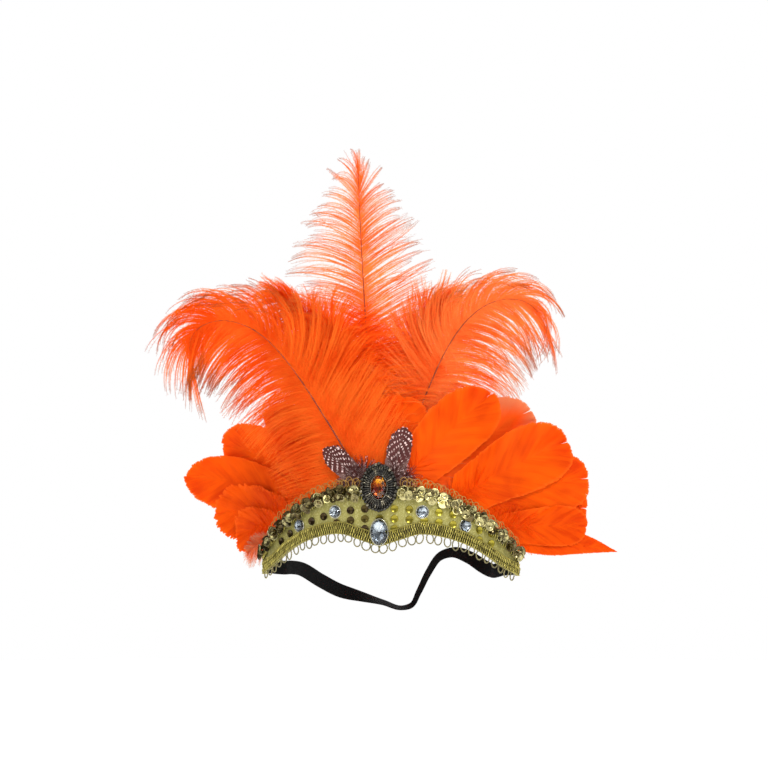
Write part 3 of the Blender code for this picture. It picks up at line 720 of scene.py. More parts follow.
def feather_surface(nodes, deep, bright, tip, tip_start, patch, strand, through, tip_from=-1.0,
                    roughness=0.55, patch_size=30.0, fold=0.0):
    """Dyed feather: a soft surface that also lets light through."""
    # fold is the strength of the painted fold shade
    dye = nodes.group("dyed_strands", Deep=deep, Bright=bright, Tip=tip, Tip_Start=tip_start,
                      Tip_From=tip_from, Patch_Size=patch_size, Patch_Strength=patch, Strand_Strength=strand,
                      Fold_Strength=fold)[0]
    glow = nodes.put("BsdfTranslucent", Color=dye)[0]
    return nodes.put("MixShader", i0=through, i1=nodes.surface(dye, roughness, Specular_IOR_Level=0.06),
                     i2=glow)[0]


def guinea_surface(nodes):
    """Guinea fowl: rows of pale dots on maroon barbs, and a grey fluffy foot."""
    across, along = nodes.pattern()
    rows = nodes.times(along, 14.0)
    shift = nodes.times(nodes.math("MODULO", nodes.math("FLOOR", rows), 2.0), 0.5)
    columns = nodes.plus(nodes.times(across, 7.0), shift)
    gap_x = nodes.minus(nodes.math("FRACT", columns), 0.5)
    gap_y = nodes.minus(nodes.math("FRACT", rows), 0.5)
    far = nodes.math("SQRT", nodes.plus(nodes.times(gap_x, gap_x), nodes.times(gap_y, gap_y)))
    head = nodes.step(along, 0.36, 0.54)
    dot = nodes.times(nodes.minus(1.0, nodes.step(far, 0.12, 0.24)), head)
    fluff = nodes.group("dyed_strands", Deep=(0.060, 0.022, 0.016), Bright=(0.21, 0.115, 0.09),
                        Tip=(0.20, 0.10, 0.085), Tip_Start=0.5, Patch_Strength=0.5, Strand_Strength=0.8)[0]
    vane = nodes.group("dyed_strands", Deep=(0.018, 0.003, 0.003), Bright=(0.075, 0.010, 0.007),
                       Tip=(0.065, 0.010, 0.007), Tip_Start=0.6, Patch_Strength=0.3, Strand_Strength=0.5)[0]
    colour = nodes.blend(dot, nodes.blend(head, fluff, vane), (0.86, 0.62, 0.58))
    return nodes.surface(colour, 0.5, Specular_IOR_Level=0.3)


def quill_surface(nodes, dark, pale):
    """Smooth horny quill, darker in streaks along it."""
    return nodes.surface(nodes.blend(nodes.step(nodes.noise(120.0, 3.0), 0.4, 0.65), dark, pale), 0.35)


def cloth_surface(nodes):
    """Pale gold cloth: fine weave of metal threads, brighter flecks and a faint cloudiness."""
    height, fleck = nodes.group("fine_weave", Across=420.0, Along=70.0, Fleck=1100.0)
    ground = nodes.blend(nodes.noise(55.0, 4.0), (0.265, 0.232, 0.044), (0.36, 0.325, 0.090))
    colour = nodes.blend(nodes.times(fleck, 0.5), ground, (0.62, 0.58, 0.26))
    return nodes.surface(colour, 0.46, Metallic=0.35, Normal=nodes.bump(height, 0.35))


def thread_surface(nodes, bright, dark, windings, slant, metallic=0.75):
    """Metal thread of the braids and loops."""
    colour, height, roughness = nodes.group("spun_thread", Bright=bright, Dark=dark, Windings=windings,
                                            Slant=slant)
    return nodes.surface(colour, roughness, Metallic=metallic, Normal=nodes.bump(height, 0.6))


def foil_surface(nodes, dark, bright, wear, coat=0.4):
    """Foil of the dots and sequins under a clear gloss."""
    colour, roughness = nodes.group("worn_foil", Dark=dark, Bright=bright, Wear=wear)
    return nodes.surface(colour, roughness, Metallic=0.92, Coat_Weight=coat, Coat_Roughness=0.08)


def gem_surface(nodes, colour):
    """Clear cut stone, faintly clouded."""
    tint = nodes.blend(nodes.times(nodes.noise(300.0, 2.0), 0.25), colour, (1.0, 1.0, 1.0))
    return nodes.surface(tint, 0.02, IOR=1.55, Transmission_Weight=1.0)


def mirror_surface(nodes, dark, bright):
    """Mirrored back of a stone, each facet with its own tone, which holds painted highlights on the centre
    and brooch stones.
    """
    return nodes.surface(nodes.group("worn_foil", Dark=dark, Bright=bright, Wear=0.4)[0], 0.08, Metallic=1.0)


def elastic_surface(nodes):
    """Black flat elastic: woven, dull, with lint on its ribs."""
    height, fleck = nodes.group("fine_weave", Across=18.0, Along=420.0, Fleck=700.0)
    colour = nodes.blend(nodes.times(fleck, 0.35), (0.0022, 0.0022, 0.0026), (0.009, 0.009, 0.010))
    return nodes.surface(colour, 0.75, Specular_IOR_Level=0.12, Normal=nodes.bump(height, 0.4))


def floor_surface(nodes):
    """Pale matt floor."""
    colour = nodes.blend(nodes.noise(8.0, 2.0), (0.93, 0.93, 0.93), (0.95, 0.95, 0.95))
    return nodes.surface(colour, 0.9, Emission_Color=(1, 1, 1), Emission_Strength=0.55)


def new_finish(name, make, *values):
    """Material whose surface one of the functions above makes."""
    made = bpy.data.materials.new(name)
    made.use_nodes = True
    nodes = Nodes(made.node_tree)
    nodes.tree.nodes.clear()
    out = nodes.tree.nodes.new("ShaderNodeOutputMaterial")
    nodes.link(make(nodes, *values), out.inputs[0])
    return made


# One row for each finish: name, function and its values. A dyed feather has a deep, a bright and a tip
# colour, the share across where the tip starts, the strength of its patches and of single strands, the light
# let through, the share along where tips begin to colour, its roughness, the size of its patches and the
# strength of its painted fold shade. Threads have a bright and a dark colour, windings, slant and metal, and
# foils a dark and a bright one, wear and gloss.
dark_tip = (0.36, 0.095, 0.030)
FINISHES = {name: new_finish(name, make, *values) for name, make, *values in (
    ("ostrich_orange", feather_surface, (0.90, 0.095, 0.001), (1.0, 0.235, 0.022), dark_tip,
     0.62, 0.60, 0.5, 0.45, 0.36),
    ("ostrich_soft", feather_surface, (0.90, 0.090, 0.001), (1.0, 0.21, 0.016), (1.0, 0.26, 0.045),
     0.70, 0.70, 0.5, 0.45),
    ("ostrich_pale", feather_surface, (0.94, 0.150, 0.012), (1.0, 0.36, 0.100), (1.0, 0.36, 0.120),
     0.70, 0.60, 0.5, 0.45),
    ("ostrich_light", feather_surface, (0.94, 0.125, 0.006), (1.0, 0.32, 0.070), dark_tip,
     0.62, 0.60, 0.5, 0.45, 0.40),
    ("broad_orange", feather_surface, (0.78, 0.058, 0.0003), (1.0, 0.132, 0.0015), (1.0, 0.16, 0.010),
     0.90, 0.50, 0.22, 0.35, -1.0, 0.50, 26.0, 0.55),
    ("broad_pale", feather_surface, (0.88, 0.080, 0.002), (1.0, 0.16, 0.010), (0.80, 0.25, 0.10),
     0.30, 0.45, 0.25, 0.45, -1.0, 0.50, 26.0, 0.50),
    ("pale_fluff", feather_surface, (0.72, 0.13, 0.030), (0.86, 0.26, 0.10), (0.66, 0.33, 0.20),
     0.5, 0.5, 0.5, 0.45),
    ("guinea_spots", guinea_surface),
    ("orange_quill", quill_surface, (0.22, 0.030, 0.006), (0.50, 0.085, 0.016)),
    ("vane_quill", quill_surface, (0.55, 0.030, 0.002), (0.80, 0.060, 0.004)),
    ("guinea_quill", quill_surface, (0.10, 0.05, 0.04), (0.30, 0.20, 0.17)),
    ("gold_cloth", cloth_surface),
    ("gimp_thread", thread_surface, (0.92, 0.80, 0.20), (0.055, 0.040, 0.004), 5.0, 1.0),
    # The braid ground is a dark strip behind the stitches, its colour painted shade in the gaps between them
    ("braid_ground_shade", thread_surface, (0.11, 0.085, 0.012), (0.02, 0.015, 0.003), 90.0, 0.0, 0.3),
    ("picot_thread", thread_surface, (0.46, 0.41, 0.20), (0.08, 0.066, 0.03), 26.0, 1.0),
    ("copper_thread", thread_surface, (0.85, 0.50, 0.12), (0.30, 0.12, 0.02), 22.0, 1.0),
    ("foil_dots", foil_surface, (0.030, 0.015, 0.003), (0.50, 0.42, 0.035), 0.30, 0.2),
    ("cup_sequins", foil_surface, (0.070, 0.045, 0.006), (0.98, 0.89, 0.40), 0.35),
    ("clear_gem", gem_surface, (0.90, 0.95, 0.97)),
    ("red_gem", gem_surface, (1.0, 0.66, 0.42)),
    ("silver_back", mirror_surface, (0.06, 0.080, 0.105), (0.72, 0.76, 0.79)),
    # The fire back's bright colour is the yellow of the brooch stone's painted glint
    ("fire_back", mirror_surface, (0.16, 0.003, 0.001), (1.0, 0.66, 0.03)),
    ("stone_setting", foil_surface, (0.30, 0.28, 0.20), (0.85, 0.83, 0.70), 0.3, 0.2),
    ("gunmetal_bead", foil_surface, (0.009, 0.008, 0.005), (0.24, 0.21, 0.14), 0.20, 0.7),
    ("black_elastic_weave", elastic_surface),
    ("pale_floor", floor_surface),
)}


# Feathers

def fan_profile(x):
    """Depth and slope of the fan across: along the band's inner face, then flaring out to the sides."""
    radius = band_radius - clearance
    x = np.abs(x)
    turn_off = fan_turn_off * radius
    drop = math.sqrt(radius ** 2 - turn_off ** 2)
    near = np.minimum(x, turn_off)
    inside = band_radius - np.sqrt(radius ** 2 - near ** 2)
    slope_in = turn_off / drop
    ease_length = fan_ease * band_radius
    beyond = np.maximum(x - turn_off, 0.0)
    ebb = np.exp(-beyond / ease_length)
    flare = fan_side_slope * beyond + (slope_in - fan_side_slope) * ease_length * (1 - ebb)
    slope = near / np.sqrt(radius ** 2 - near ** 2)
    slope = np.where(x > turn_off, fan_side_slope + (slope_in - fan_side_slope) * ebb, slope)
    return inside + flare, slope


def fan_depth(x, z, layer):
    """Depth of the front of a layer: flatter and leaning back with height, curling forward at the tips."""
    across, slope = fan_profile(x)
    reach = np.hypot(x, z)
    flat = 1 - fan_flattening * ease((z - band_height / 2) / (fan_height / 2))
    curl = tip_curl * np.maximum((reach - curl_start) / (fan_height - curl_start), 0.0) ** 2
    above_band = np.hypot(x, z + fan_centre_drop) - fan_centre_drop - band_height / 2
    part = 1 + layer_spread * ease(above_band / spread_reach)
    square = np.hypot(1.0, flat * slope)
    lean = lean_back * np.maximum(z - band_height / 2, 0.0)
    return flat * across + lean - curl + layer * (feather_thickness + layer_gap) * part * square


def lay_on_fan(x, z, layer, behind=0.0):
    """Points on a layer of the fan, some distance behind its front."""
    return stacked(x, fan_depth(x, z, layer) + behind, z)


def fan_facing(x, z, layer):
    """Direction that a layer faces, towards the front: from the slopes of its depth."""
    small = 0.0005
    slope_x = (fan_depth(x + small, z, layer) - fan_depth(x - small, z, layer)) / (2 * small)
    slope_z = (fan_depth(x, z + small, layer) - fan_depth(x, z - small, layer)) / (2 * small)
    return unit(np.stack([slope_x, -np.ones_like(slope_x), slope_z], axis=-1))


def spine_at(row, share):
    """Place and heading along the spine: the heading is lean + curl x share to the power, summed up."""
    fine = np.linspace(0.0, 1.0, 301)
    heading = np.radians(row.lean + row.curl * fine ** row.power)
    middle = (heading[1:] + heading[:-1]) / 2
    step = row.length * KINDS[row.kind].length / (len(fine) - 1)
    low = band_edge(row.root, "lower")
    foot_x = band_radius * math.sin(math.radians(row.root))
    foot_z = low + row.height * (band_edge(row.root, "upper") - low)
    x = foot_x + np.concatenate([[0.0], np.cumsum(np.sin(middle)) * step])
    z = foot_z + np.concatenate([[0.0], np.cumsum(np.cos(middle)) * step])
    ahead = np.radians(row.lean + row.curl * share ** row.power)
    return np.interp(share, fine, x), np.interp(share, fine, z), ahead


def barb_paths(row, look, dice):
    """Paths of all barbs in the front plane, each barb's share, side and lock, and its points' shares.

    A barb leaves the spine at the splay, sweeps round along its length, and is pulled towards straight down
    by the sag times the share along it. Towards the feather's tip the splay closes, which rounds the end off.
    Barbs of one lock bend together and draw together in their outer half; some stay loose.
    """
    kind = KINDS[row.kind]
    sweep = SWEEPS.get(row.name, Sweep(0, 0, 1, 1))
    share = (np.arange(look.barbs) + dice.uniform(0.2, 0.8, look.barbs)) / look.barbs
    share = share if look.cover else 1 - (1 - share) ** look.thinning
    share = kind.vane_start + (1 - kind.vane_start) * share
    lock = []
    for _ in range(2):
        sizes = dice.integers(max(2, look.lock // 2), look.lock * 2, look.barbs)
        lock.append(np.searchsorted(np.cumsum(sizes), np.arange(look.barbs), side="right"))
    lock = np.concatenate([lock[0], lock[1] + lock[0].max() + 1])
    locks = lock.max() + 1
    share = np.tile(share, 2)
    side = np.repeat([-1.0, 1.0], look.barbs)
    x, z, heading = spine_at(row, share)
    at_tip = share ** tip_closing
    splay = np.radians(row.splay + look.open) * (1 - splay_ebb * share ** 3) * (1 - at_tip)
    start = heading + side * splay + np.radians(dice.normal(0, look.stray, len(share)))
    rise = look.foot + (1 - look.foot) * ease((share - kind.vane_start) / (look.fullest - kind.vane_start))
    ended = np.maximum((share - look.fullest) / (1 - look.fullest), 0.0)
    fall = 1 - (1 - look.tip) * ended ** look.round_off
    uneven = 1 + dice.normal(0, look.ragged, len(share)) + dice.normal(0, look.ragged, locks)[lock]
    uneven = np.clip(uneven, shortest_barb, longest_barb)
    barb = kind.barb * np.where(side < 0, row.left * sweep.longer_left, row.right * sweep.longer_right)
    reach = quill_half_width + (barb * uneven - quill_half_width) * rise * fall
    sag = np.where(side < 0, row.sag_left, row.sag_right) * (1 + dice.normal(0, sag_spread, locks)[lock])
    t = np.linspace(0.0, 1.0, look.points)
    middle = (t[1:] + t[:-1]) / 2
    loose = dice.uniform(0, 1, len(share)) < (0.0 if look.cover else loose_share)
    bend = dice.normal(0, look.lock_bend, locks)[lock]
    bend += dice.normal(0, look.lock_bend, len(share)) * (0.25 + loose)
    bend *= 0.4 + 0.6 * ease((share - 0.4) / 0.3)
    turn = np.where(side < 0, sweep.left, sweep.right) * ease((share - 0.30) / 0.5)
    turn *= 1 - (1 - sweep.at_tip) * at_tip
    bearing = start[:, None] + np.radians(bend[:, None] * middle ** 2.0 + turn[:, None] * middle ** 1.2)
    pull = (sag * (0.3 + 0.7 * ease(share / 0.45)))[:, None] * middle
    step_x = (1 - pull) * np.sin(bearing)
    step_z = (1 - pull) * np.cos(bearing) - pull
    size = np.hypot(step_x, step_z)
    steps = np.stack([step_x / size, step_z / size], axis=-1) * (reach / (look.points - 1))[:, None, None]
    paths = np.concatenate([np.zeros((len(share), 1, 2)), np.cumsum(steps, axis=1)], axis=1)
    paths += np.stack([x, z], axis=-1)[:, None, :]
    middles = np.zeros((locks,) + paths.shape[1:])
    np.add.at(middles, lock, paths)
    middles /= np.maximum(np.bincount(lock, minlength=locks), 1)[:, None, None]
    gathered = look.lock_pull * np.where(loose, loose_pull, 1.0) * (0.30 + 0.70 * ease((share - 0.35) / 0.35))
    paths += (middles[lock] - paths) * (gathered[:, None] * t ** 2.6)[..., None]
    return paths, share, side, lock, t


def add_barbs(shape, row, look, dice):
    """Adds single barbs: flat strips along the barb paths, and hair-fine barbules on them."""
    paths, share, side, lock, t = barb_paths(row, look, dice)
    locks = lock.max() + 1
    tone = np.clip(0.5 + dice.normal(0, 0.16, len(share)) + dice.normal(0, 0.14, locks)[lock], 0, 1)
    phase = dice.uniform(0, 1, 3)
    cup = np.where(side < 0, dice.uniform(-0.5, 1.0), dice.uniform(-0.5, 1.0)) * look.cup
    slow = 1.7 * share[:, None] + phase[0]
    quick = 3.9 * share[:, None] + phase[1] - 0.6 * t
    fold = np.sin(2 * np.pi * slow) + 0.5 * np.sin(2 * np.pi * quick)
    free = ease(share / 0.5)[:, None]
    behind = (feather_thickness / 2
              + free * dice.normal(0, look.lock_depth, locks)[lock][:, None] * t ** 1.5
              + free * dice.normal(0, look.lock_depth / 3, len(share))[:, None] * t
              - free * cup[:, None] * t ** 2
              + free * look.ripple * fold * t ** 1.3 * np.where(side < 0, 1.0, phase[2] * 2 - 1)[:, None])
    if row.kind.startswith("guinea"):
        behind = behind - guinea_forward
    points = lay_on_fan(paths[..., 0], paths[..., 1], row.layer, behind)
    facing = fan_facing(paths[..., 0], paths[..., 1], row.layer)
    direction = along_path(points)
    facing = square_to(direction, facing)
    roll = np.radians(look.roll) * (side if look.cover else dice.normal(0, 1, len(share)))
    across = np.cross(direction, facing)
    across = across * np.cos(roll)[:, None, None] + facing * np.sin(roll)[:, None, None]
    facing = np.cross(across, direction)
    spacing = np.linalg.norm(np.diff(points, axis=0, append=points[-1:]), axis=-1)
    spacing[look.barbs - 1::look.barbs] = spacing[look.barbs - 2::look.barbs]
    spacing = np.minimum(spacing, widest_gap)
    fluffy = 0.0 if look.cover else 0.9
    width = np.maximum(look.width * (1 + fluffy * (1 - t) ** 2), look.cover * spacing)
    width = width * (1 - (0.60 * t ** 8 if look.cover else 0.75 * t ** 3))
    places = stacked(0.5 + 0.5 * side[:, None] * t, share[:, None])
    halves = np.array([-0.5, 0.5])[:, None] * across[:, :, None, :] * width[..., None, None]
    strips = points[:, :, None, :] + halves
    shape.add_grids(strips, places[:, :, None, :], tone[:, None, None])
    if not look.barbules:
        return
    count = look.barbules
    at = ((np.arange(count) + dice.uniform(0, 1, (len(share), count))) / count) ** 1.2
    spot = at * (len(t) - 1)
    low = np.minimum(spot.astype(int), len(t) - 2)
    part = (spot - low)[..., None]
    rows = np.arange(len(share))[:, None]

    def between(values):
        """The values where the barbules stand, between two points of their barb."""
        return values[rows, low] * (1 - part) + values[rows, low + 1] * part

    root = between(points)
    ahead, wide, out = between(direction), between(across), between(facing)
    turn = np.radians(dice.normal(barbule_turn, barbule_stray, at.shape))[..., None]
    lift = np.radians(dice.normal(0, barbule_lift, at.shape))[..., None]
    hand = np.where(np.arange(count) % 2, 1.0, -1.0)[:, None]
    aim = ahead * np.cos(turn) + (wide * hand * np.cos(lift) + out * np.sin(lift)) * np.sin(turn)
    reach = look.barbule_length * (1 - 0.72 * at) * dice.uniform(0.6, 1.25, at.shape)
    foot = ahead * look.barbule_width / 2
    hairs = np.stack([root - foot, root + foot, root + aim * reach[..., None]], axis=2).reshape(-1, 3, 3)
    hair_places = stacked(0.5 + 0.5 * side[:, None] * at, share[:, None])
    hair_places = np.repeat(hair_places.reshape(-1, 1, 2), 3, axis=1)
    hair_tones = np.repeat(np.repeat(tone, count)[:, None], 3, axis=1)
    shape.add_triangles(hairs, hair_places, hair_tones)


def make_feather(row, seed):
    """Feather of single barbs on a tapered quill. A guinea feather has loose down round its foot."""
    dice = np.random.default_rng(seed)
    kind = KINDS[row.kind]
    look = LOOKS[OWN_LOOKS.get(row.name, row.kind)]
    shape = Shape()
    add_barbs(shape, row, look, dice)
    if row.kind == "guinea":
        for lean in (-24, 0, 24):
            foot = row._replace(kind="guinea_down", length=0.42, lean=row.lean + lean, splay=44)
            add_barbs(shape, foot, LOOKS["guinea_down"], dice)
    if row.kind == "broad":
        foot = row._replace(kind="broad_down", length=0.30, height=row.height + 0.08, splay=34, left=1,
                            right=1)
        add_barbs(shape, foot, LOOKS["broad_down"], dice)
    steps = np.linspace(0.0, 1.0, 60)
    x, z, _ = spine_at(row, steps)
    sunk = QUILL_DEPTHS.get(OWN_LOOKS.get(row.name), QUILL_DEPTHS.get(row.kind, 0.0001))
    thick = (plume_quill if kind.length > broad_length else broad_quill) * (1 - quill_taper * steps)
    shape.add_tubes(lay_on_fan(x, z, row.layer, sunk)[None], thick[None], (0.0, -1.0, 0.0), 6, look=1)
    quill_finish = OWN_QUILLS.get(row.name, "guinea_quill" if row.kind == "guinea" else "vane_quill")
    finish = OWN_FINISHES.get(row.name, kind.finish)
    shape.make(row.name + "_barbs", [finish, quill_finish], kind.slot, row.name)


# Band

def make_band_cloth():
    """Curved cloth panel between the two edges: rows up it, columns along it, both faces and their edges."""
    columns, rows = 180, 12
    angles = np.linspace(-band_half_angle, band_half_angle, columns)
    low = band_edge(angles, "lower")
    high = band_edge(angles, "upper")
    t = np.linspace(0.0, 1.0, rows)
    height = low + (high - low) * t[:, None]
    pucker = cloth_pucker * np.sin(angles * 1.9 + 5 * t[:, None]) * np.sin(np.pi * t[:, None])
    front = band_point(angles, height, band_wall + pucker)
    back = band_point(angles, height, 0.0)
    loop = np.concatenate([front, back[::-1]])[None]
    loop = np.swapaxes(loop, 1, 2)[:, :, ::-1]
    round_it = np.linspace(0.0, 1.0, 2 * rows)
    along = np.linspace(0.0, 1.0, columns)
    places = stacked(along[:, None], round_it)
    shape = Shape()
    shape.add_grids(loop, places[None, :, ::-1], 0.5, ring=True, caps=BOTH_ENDS)
    shape.make("band_cloth", ["gold_cloth"], "gold_fabric", "band")


def dot_places():
    """Angles and heights of the foil dots: rows that bend down from the middle, faster on the left."""
    angles, heights = [], []
    for step in range(-8, 9):
        for row in range(3):
            angle = step * dot_pitch_angle
            bend = dot_bend_left if angle < 0 else dot_bend_right
            height = dot_top_height - bend * angle ** 2 - row * dot_row_pitch
            low = band_edge(angle, "lower") + 0.5 * braid_height * trim_fit(angle)
            high = band_edge(angle, "upper") - 0.4 * trim_height * trim_fit(angle)
            if low + dot_radius < height < high - dot_radius:
                angles.append(angle)
                heights.append(height)
    angles, heights = np.array(angles), np.array(heights)
    keep = np.ones(len(angles), bool)
    for stone in ROUND_STONES:
        far = np.hypot((angles - stone.angle) / angle_span(1.0), heights - window_middle(stone.angle))
        keep &= far > (stone_diameter / 2 + 0.6 * dot_radius)
    return angles[keep], heights[keep]


def discs(angles, heights, out, radius, rings, tilt_x, tilt_y, spin, sides):
    """Turned discs on the band: rings of (radius share, depth), tilted about the across and up directions."""
    across, up, outward = (axis[:, None, None, :] for axis in band_axes(angles))
    turn = spin[:, None, None] - 2 * np.pi * np.arange(sides) / sides
    share, depth = np.array(rings).T[:, :, None]
    flat_x = radius[:, None, None] * share * np.cos(turn)
    flat_y = radius[:, None, None] * share * np.sin(turn)
    depth = depth + 0 * flat_x
    tilt_x, tilt_y = tilt_x[:, None, None], tilt_y[:, None, None]
    y1 = flat_y * np.cos(tilt_x) - depth * np.sin(tilt_x)
    d1 = flat_y * np.sin(tilt_x) + depth * np.cos(tilt_x)
    x2 = flat_x * np.cos(tilt_y) + d1 * np.sin(tilt_y)
    d2 = -flat_x * np.sin(tilt_y) + d1 * np.cos(tilt_y)
    centre = band_point(angles, heights, out)[:, None, None, :]
    return centre + x2[..., None] * across + y1[..., None] * up + d2[..., None] * outward


def make_foil_dots():
    """Round foil dots pressed into the cloth, slightly dished, each with its own tone: a random part plus a
    painted reflection, dark on the left and bright on the right.
    """
    dice = np.random.default_rng(31)
    angles, heights = dot_places()
    count = len(angles)
    rings = [(0.02, 0.00004), (0.35, 0.00010), (0.66, 0.00028), (0.90, 0.00056), (1.0, 0.00066), (1.03, 0.0)]
    size = np.full(count, dot_radius)
    flat = dice.normal(0, math.radians(2.0), (2, count))
    grid = discs(angles, heights, band_wall + 0.00025, size, rings, flat[0], flat[1], np.zeros(count), 28)
    # Painted reflection: the dots are dark on the left of the band and brighter to the right
    painted_reflection = ease((angles + 8) / 26)
    tones = np.clip(0.05 + 0.55 * painted_reflection + dice.normal(0, 0.08, count), 0.02, 1)
    shape = Shape()
    shape.add_grids(grid, tones=tones[:, None, None], ring=True, caps=BOTH_ENDS)
    shape.make("foil_dots", ["foil_dots"], "gold_sequin")


def add_stitches(shape, dice, rows, column, width, out, bulge, radius, tone, spread, darkest):
    """Rows of wound stitches that stand on the band, bowed outwards by a half sine.

    A row has the shares of the trimming's width where its stitches start and end, counted from the band's
    edge, and how far they lean.
    """
    count = int(math.radians(2 * band_half_angle) * band_radius / stitch_pitch)
    angles = np.linspace(-band_half_angle + 0.5, band_half_angle - 0.5, count)
    edge = band_edge(angles, column)
    tall = width * trim_fit(angles)
    t = np.linspace(0.0, 1.0, 9)
    bow = np.sin(np.pi * t)
    thick = radius * (0.55 + 0.45 * bow ** 0.5)
    for number, (start, end, lean) in enumerate(rows):
        angle = angles + angle_span(stitch_pitch / 2) * (number % 2)
        bottom, top = edge + start * tall, edge + end * tall
        shift = angle_span(lean) * (t - 0.5)
        jitter = angle_span(dice.normal(0, stitch_jitter, count))[:, None]
        paths = band_point(angle[:, None] + shift + jitter, bottom[:, None] + (top - bottom)[:, None] * t,
                           out + bulge * bow)
        tones = mixed_tones(dice, tone, spread, darkest, count)
        shape.add_tubes(paths, thick[None], band_axes(angle)[2][:, None, :], 7, tones)


def backing_strip(start, end, column, width, out):
    """Ribbon along the band's edge, from one share to another of the trimming's width."""
    angles = np.linspace(-band_half_angle + 0.2, band_half_angle - 0.2, 160)
    edge = band_edge(angles, column)
    tall = width * trim_fit(angles) * (1 if column == "lower" else -1)
    t = np.linspace(start, end, 3)[:, None]
    strip = band_point(angles, edge + t * tall, out)[None]
    return strip if column == "lower" else strip[:, ::-1]


def make_lower_braid():
    """Gimp braid: upright wound stitches in three rows over the band, edged by two twisted cords."""
    dice = np.random.default_rng(7)
    shape = Shape()
    out = braid_seat + 0.0005
    rows = ((0.02, 0.40, 0.0006), (0.33, 0.70, -0.0006), (0.62, 0.99, 0.0006))
    add_stitches(shape, dice, rows, "lower", braid_height, out, bulge=0.0007, radius=0.00044, tone=0.50,
                 spread=0.32, darkest=0.0)
    s = np.linspace(0.0, 0.72 * np.pi, 9)
    side_foot, side_top = (float(band_edge(band_half_angle, column)) for column in ("lower", "upper"))
    for end in (-1.0, 1.0):
        heights = np.arange(side_foot, side_top, 0.62 * stitch_pitch)[:, None]
        wound = end * (band_half_angle - 0.7 + 0.65 * np.sin(s))
        paths = band_point(wound, heights, band_wall / 2 + (band_wall / 2 + 0.0011) * np.cos(s))
        tones = mixed_tones(dice, 0.50, 0.28, 0.0, len(heights))
        shape.add_tubes(paths, 0.00050, (0.0, 0.0, 1.0), 7, tones)
    fine = np.linspace(-band_half_angle, band_half_angle, 720)
    low = band_edge(fine, "lower")
    tall = braid_height * trim_fit(fine)
    for share in (0.0, 1.0):
        for strand in (0.0, np.pi):
            twist = np.radians(fine) * band_radius / cord_twist * 2 * np.pi + strand
            path = band_point(fine, low + share * tall + cord_offset * np.sin(twist),
                              out + 0.0003 + cord_offset * np.cos(twist))[None]
            shape.add_tubes(path, cord_radius, (0.0, 0.0, 1.0), 6, 0.34, stretch=40)
    # Dark ground strip behind the stitches: painted shade in the gaps between them
    ground = backing_strip(0.02, 0.98, "lower", braid_height, braid_seat + ground_lift)
    shape.add_grids(ground, tones=0.4, look=1)
    shape.make("gimp_braid", ["gimp_thread", "braid_ground_shade"], "gold_braid", "lower_braid")


def loop_paths(angle, base, width, height, direction, out, dice):
    """Open loops on the band's edge: ovals from foot to foot, hanging or standing, each with its own size."""
    count = len(angle)
    turn = np.linspace(loop_opening, 2 * np.pi - loop_opening, loop_points)
    wide = (width * dice.normal(1, 0.10, count))[:, None]
    tall = (height * dice.normal(1, 0.09, count))[:, None]
    lean = dice.normal(0, 0.22, count)[:, None]
    down = tall / 2 * (1 - np.cos(turn))
    across = wide / 2 * np.sin(turn) + lean * down * 0.35
    swing = dice.normal(0, 0.0006, count)[:, None] * np.sin(turn / 2)
    return band_point(angle[:, None] + angle_span(across), base[:, None] + direction * down, out + swing)


def make_picot_loops():
    """Loops of wound wire thread that hang from the braid."""
    dice = np.random.default_rng(12)
    end = band_half_angle - angle_span(0.0046)
    angles = -end + (np.arange(picot_loops) + 0.5) * 2 * end / picot_loops
    base = band_edge(angles, "lower") + 0.0004
    paths = loop_paths(angles, base, picot_width, picot_height, -1, band_wall + 0.0010, dice)
    shape = Shape()
    count, points = paths.shape[:2]
    fine = np.linspace(0, points - 1, points * 4)
    low = np.minimum(fine.astype(int), points - 2)
    part = (fine - low)[:, None]
    smooth = paths[:, low] * (1 - part) + paths[:, low + 1] * part
    direction = along_path(smooth)
    lift = square_to(direction, np.broadcast_to(band_axes(angles)[2][:, None, :], smooth.shape))
    beside = np.cross(direction, lift)
    for strand in (0.0, np.pi):
        twist = fine * picot_twist + strand
        coil = smooth + picot_coil * (np.cos(twist)[:, None] * lift + np.sin(twist)[:, None] * beside)
        tones = mixed_tones(dice, 0.55, 0.15, 0.1, count)
        shape.add_tubes(coil, picot_wire, band_axes(angles)[2][:, None, :], 5, tones)
    shape.make("picot_loops", ["picot_thread"], "gold_braid")


def make_trim_braid():
    """Narrow gold braid that carries the sequins, with thin loops standing on its upper edge."""
    dice = np.random.default_rng(19)
    shape = Shape()
    rows = ((-0.98, -0.42, 0.0010), (-0.60, -0.10, -0.0010))
    out = braid_seat + 0.0004
    add_stitches(shape, dice, rows, "upper", trim_height, out, bulge=0.0006, radius=0.00050, tone=0.60,
                 spread=0.22, darkest=0.1)
    # Dark ground strip behind the stitches: painted shade in the gaps between them
    ground = backing_strip(0.06, 0.94, "upper", trim_height, braid_seat + ground_lift)
    shape.add_grids(ground, tones=0.4, look=2)
    loop_angles = np.linspace(-band_half_angle + 3, band_half_angle - 3, trim_loops)
    loop_angles = loop_angles[np.abs(loop_angles) > brooch_gap]
    for shift, height in ((0.0, tall_loop), (1.1, low_loop)):
        spots = loop_angles + shift
        base = band_edge(spots, "upper") - 0.0006
        paths = loop_paths(spots, base, trim_loop_width, height, 1, band_wall + 0.0016, dice)
        shape.add_tubes(paths, trim_loop_wire, band_axes(spots)[2][:, None, :], 5, 0.6, look=1)
    shape.make("trim_braid", ["gimp_thread", "copper_thread", "braid_ground_shade"], "gold_sequin", "sequin_trim")


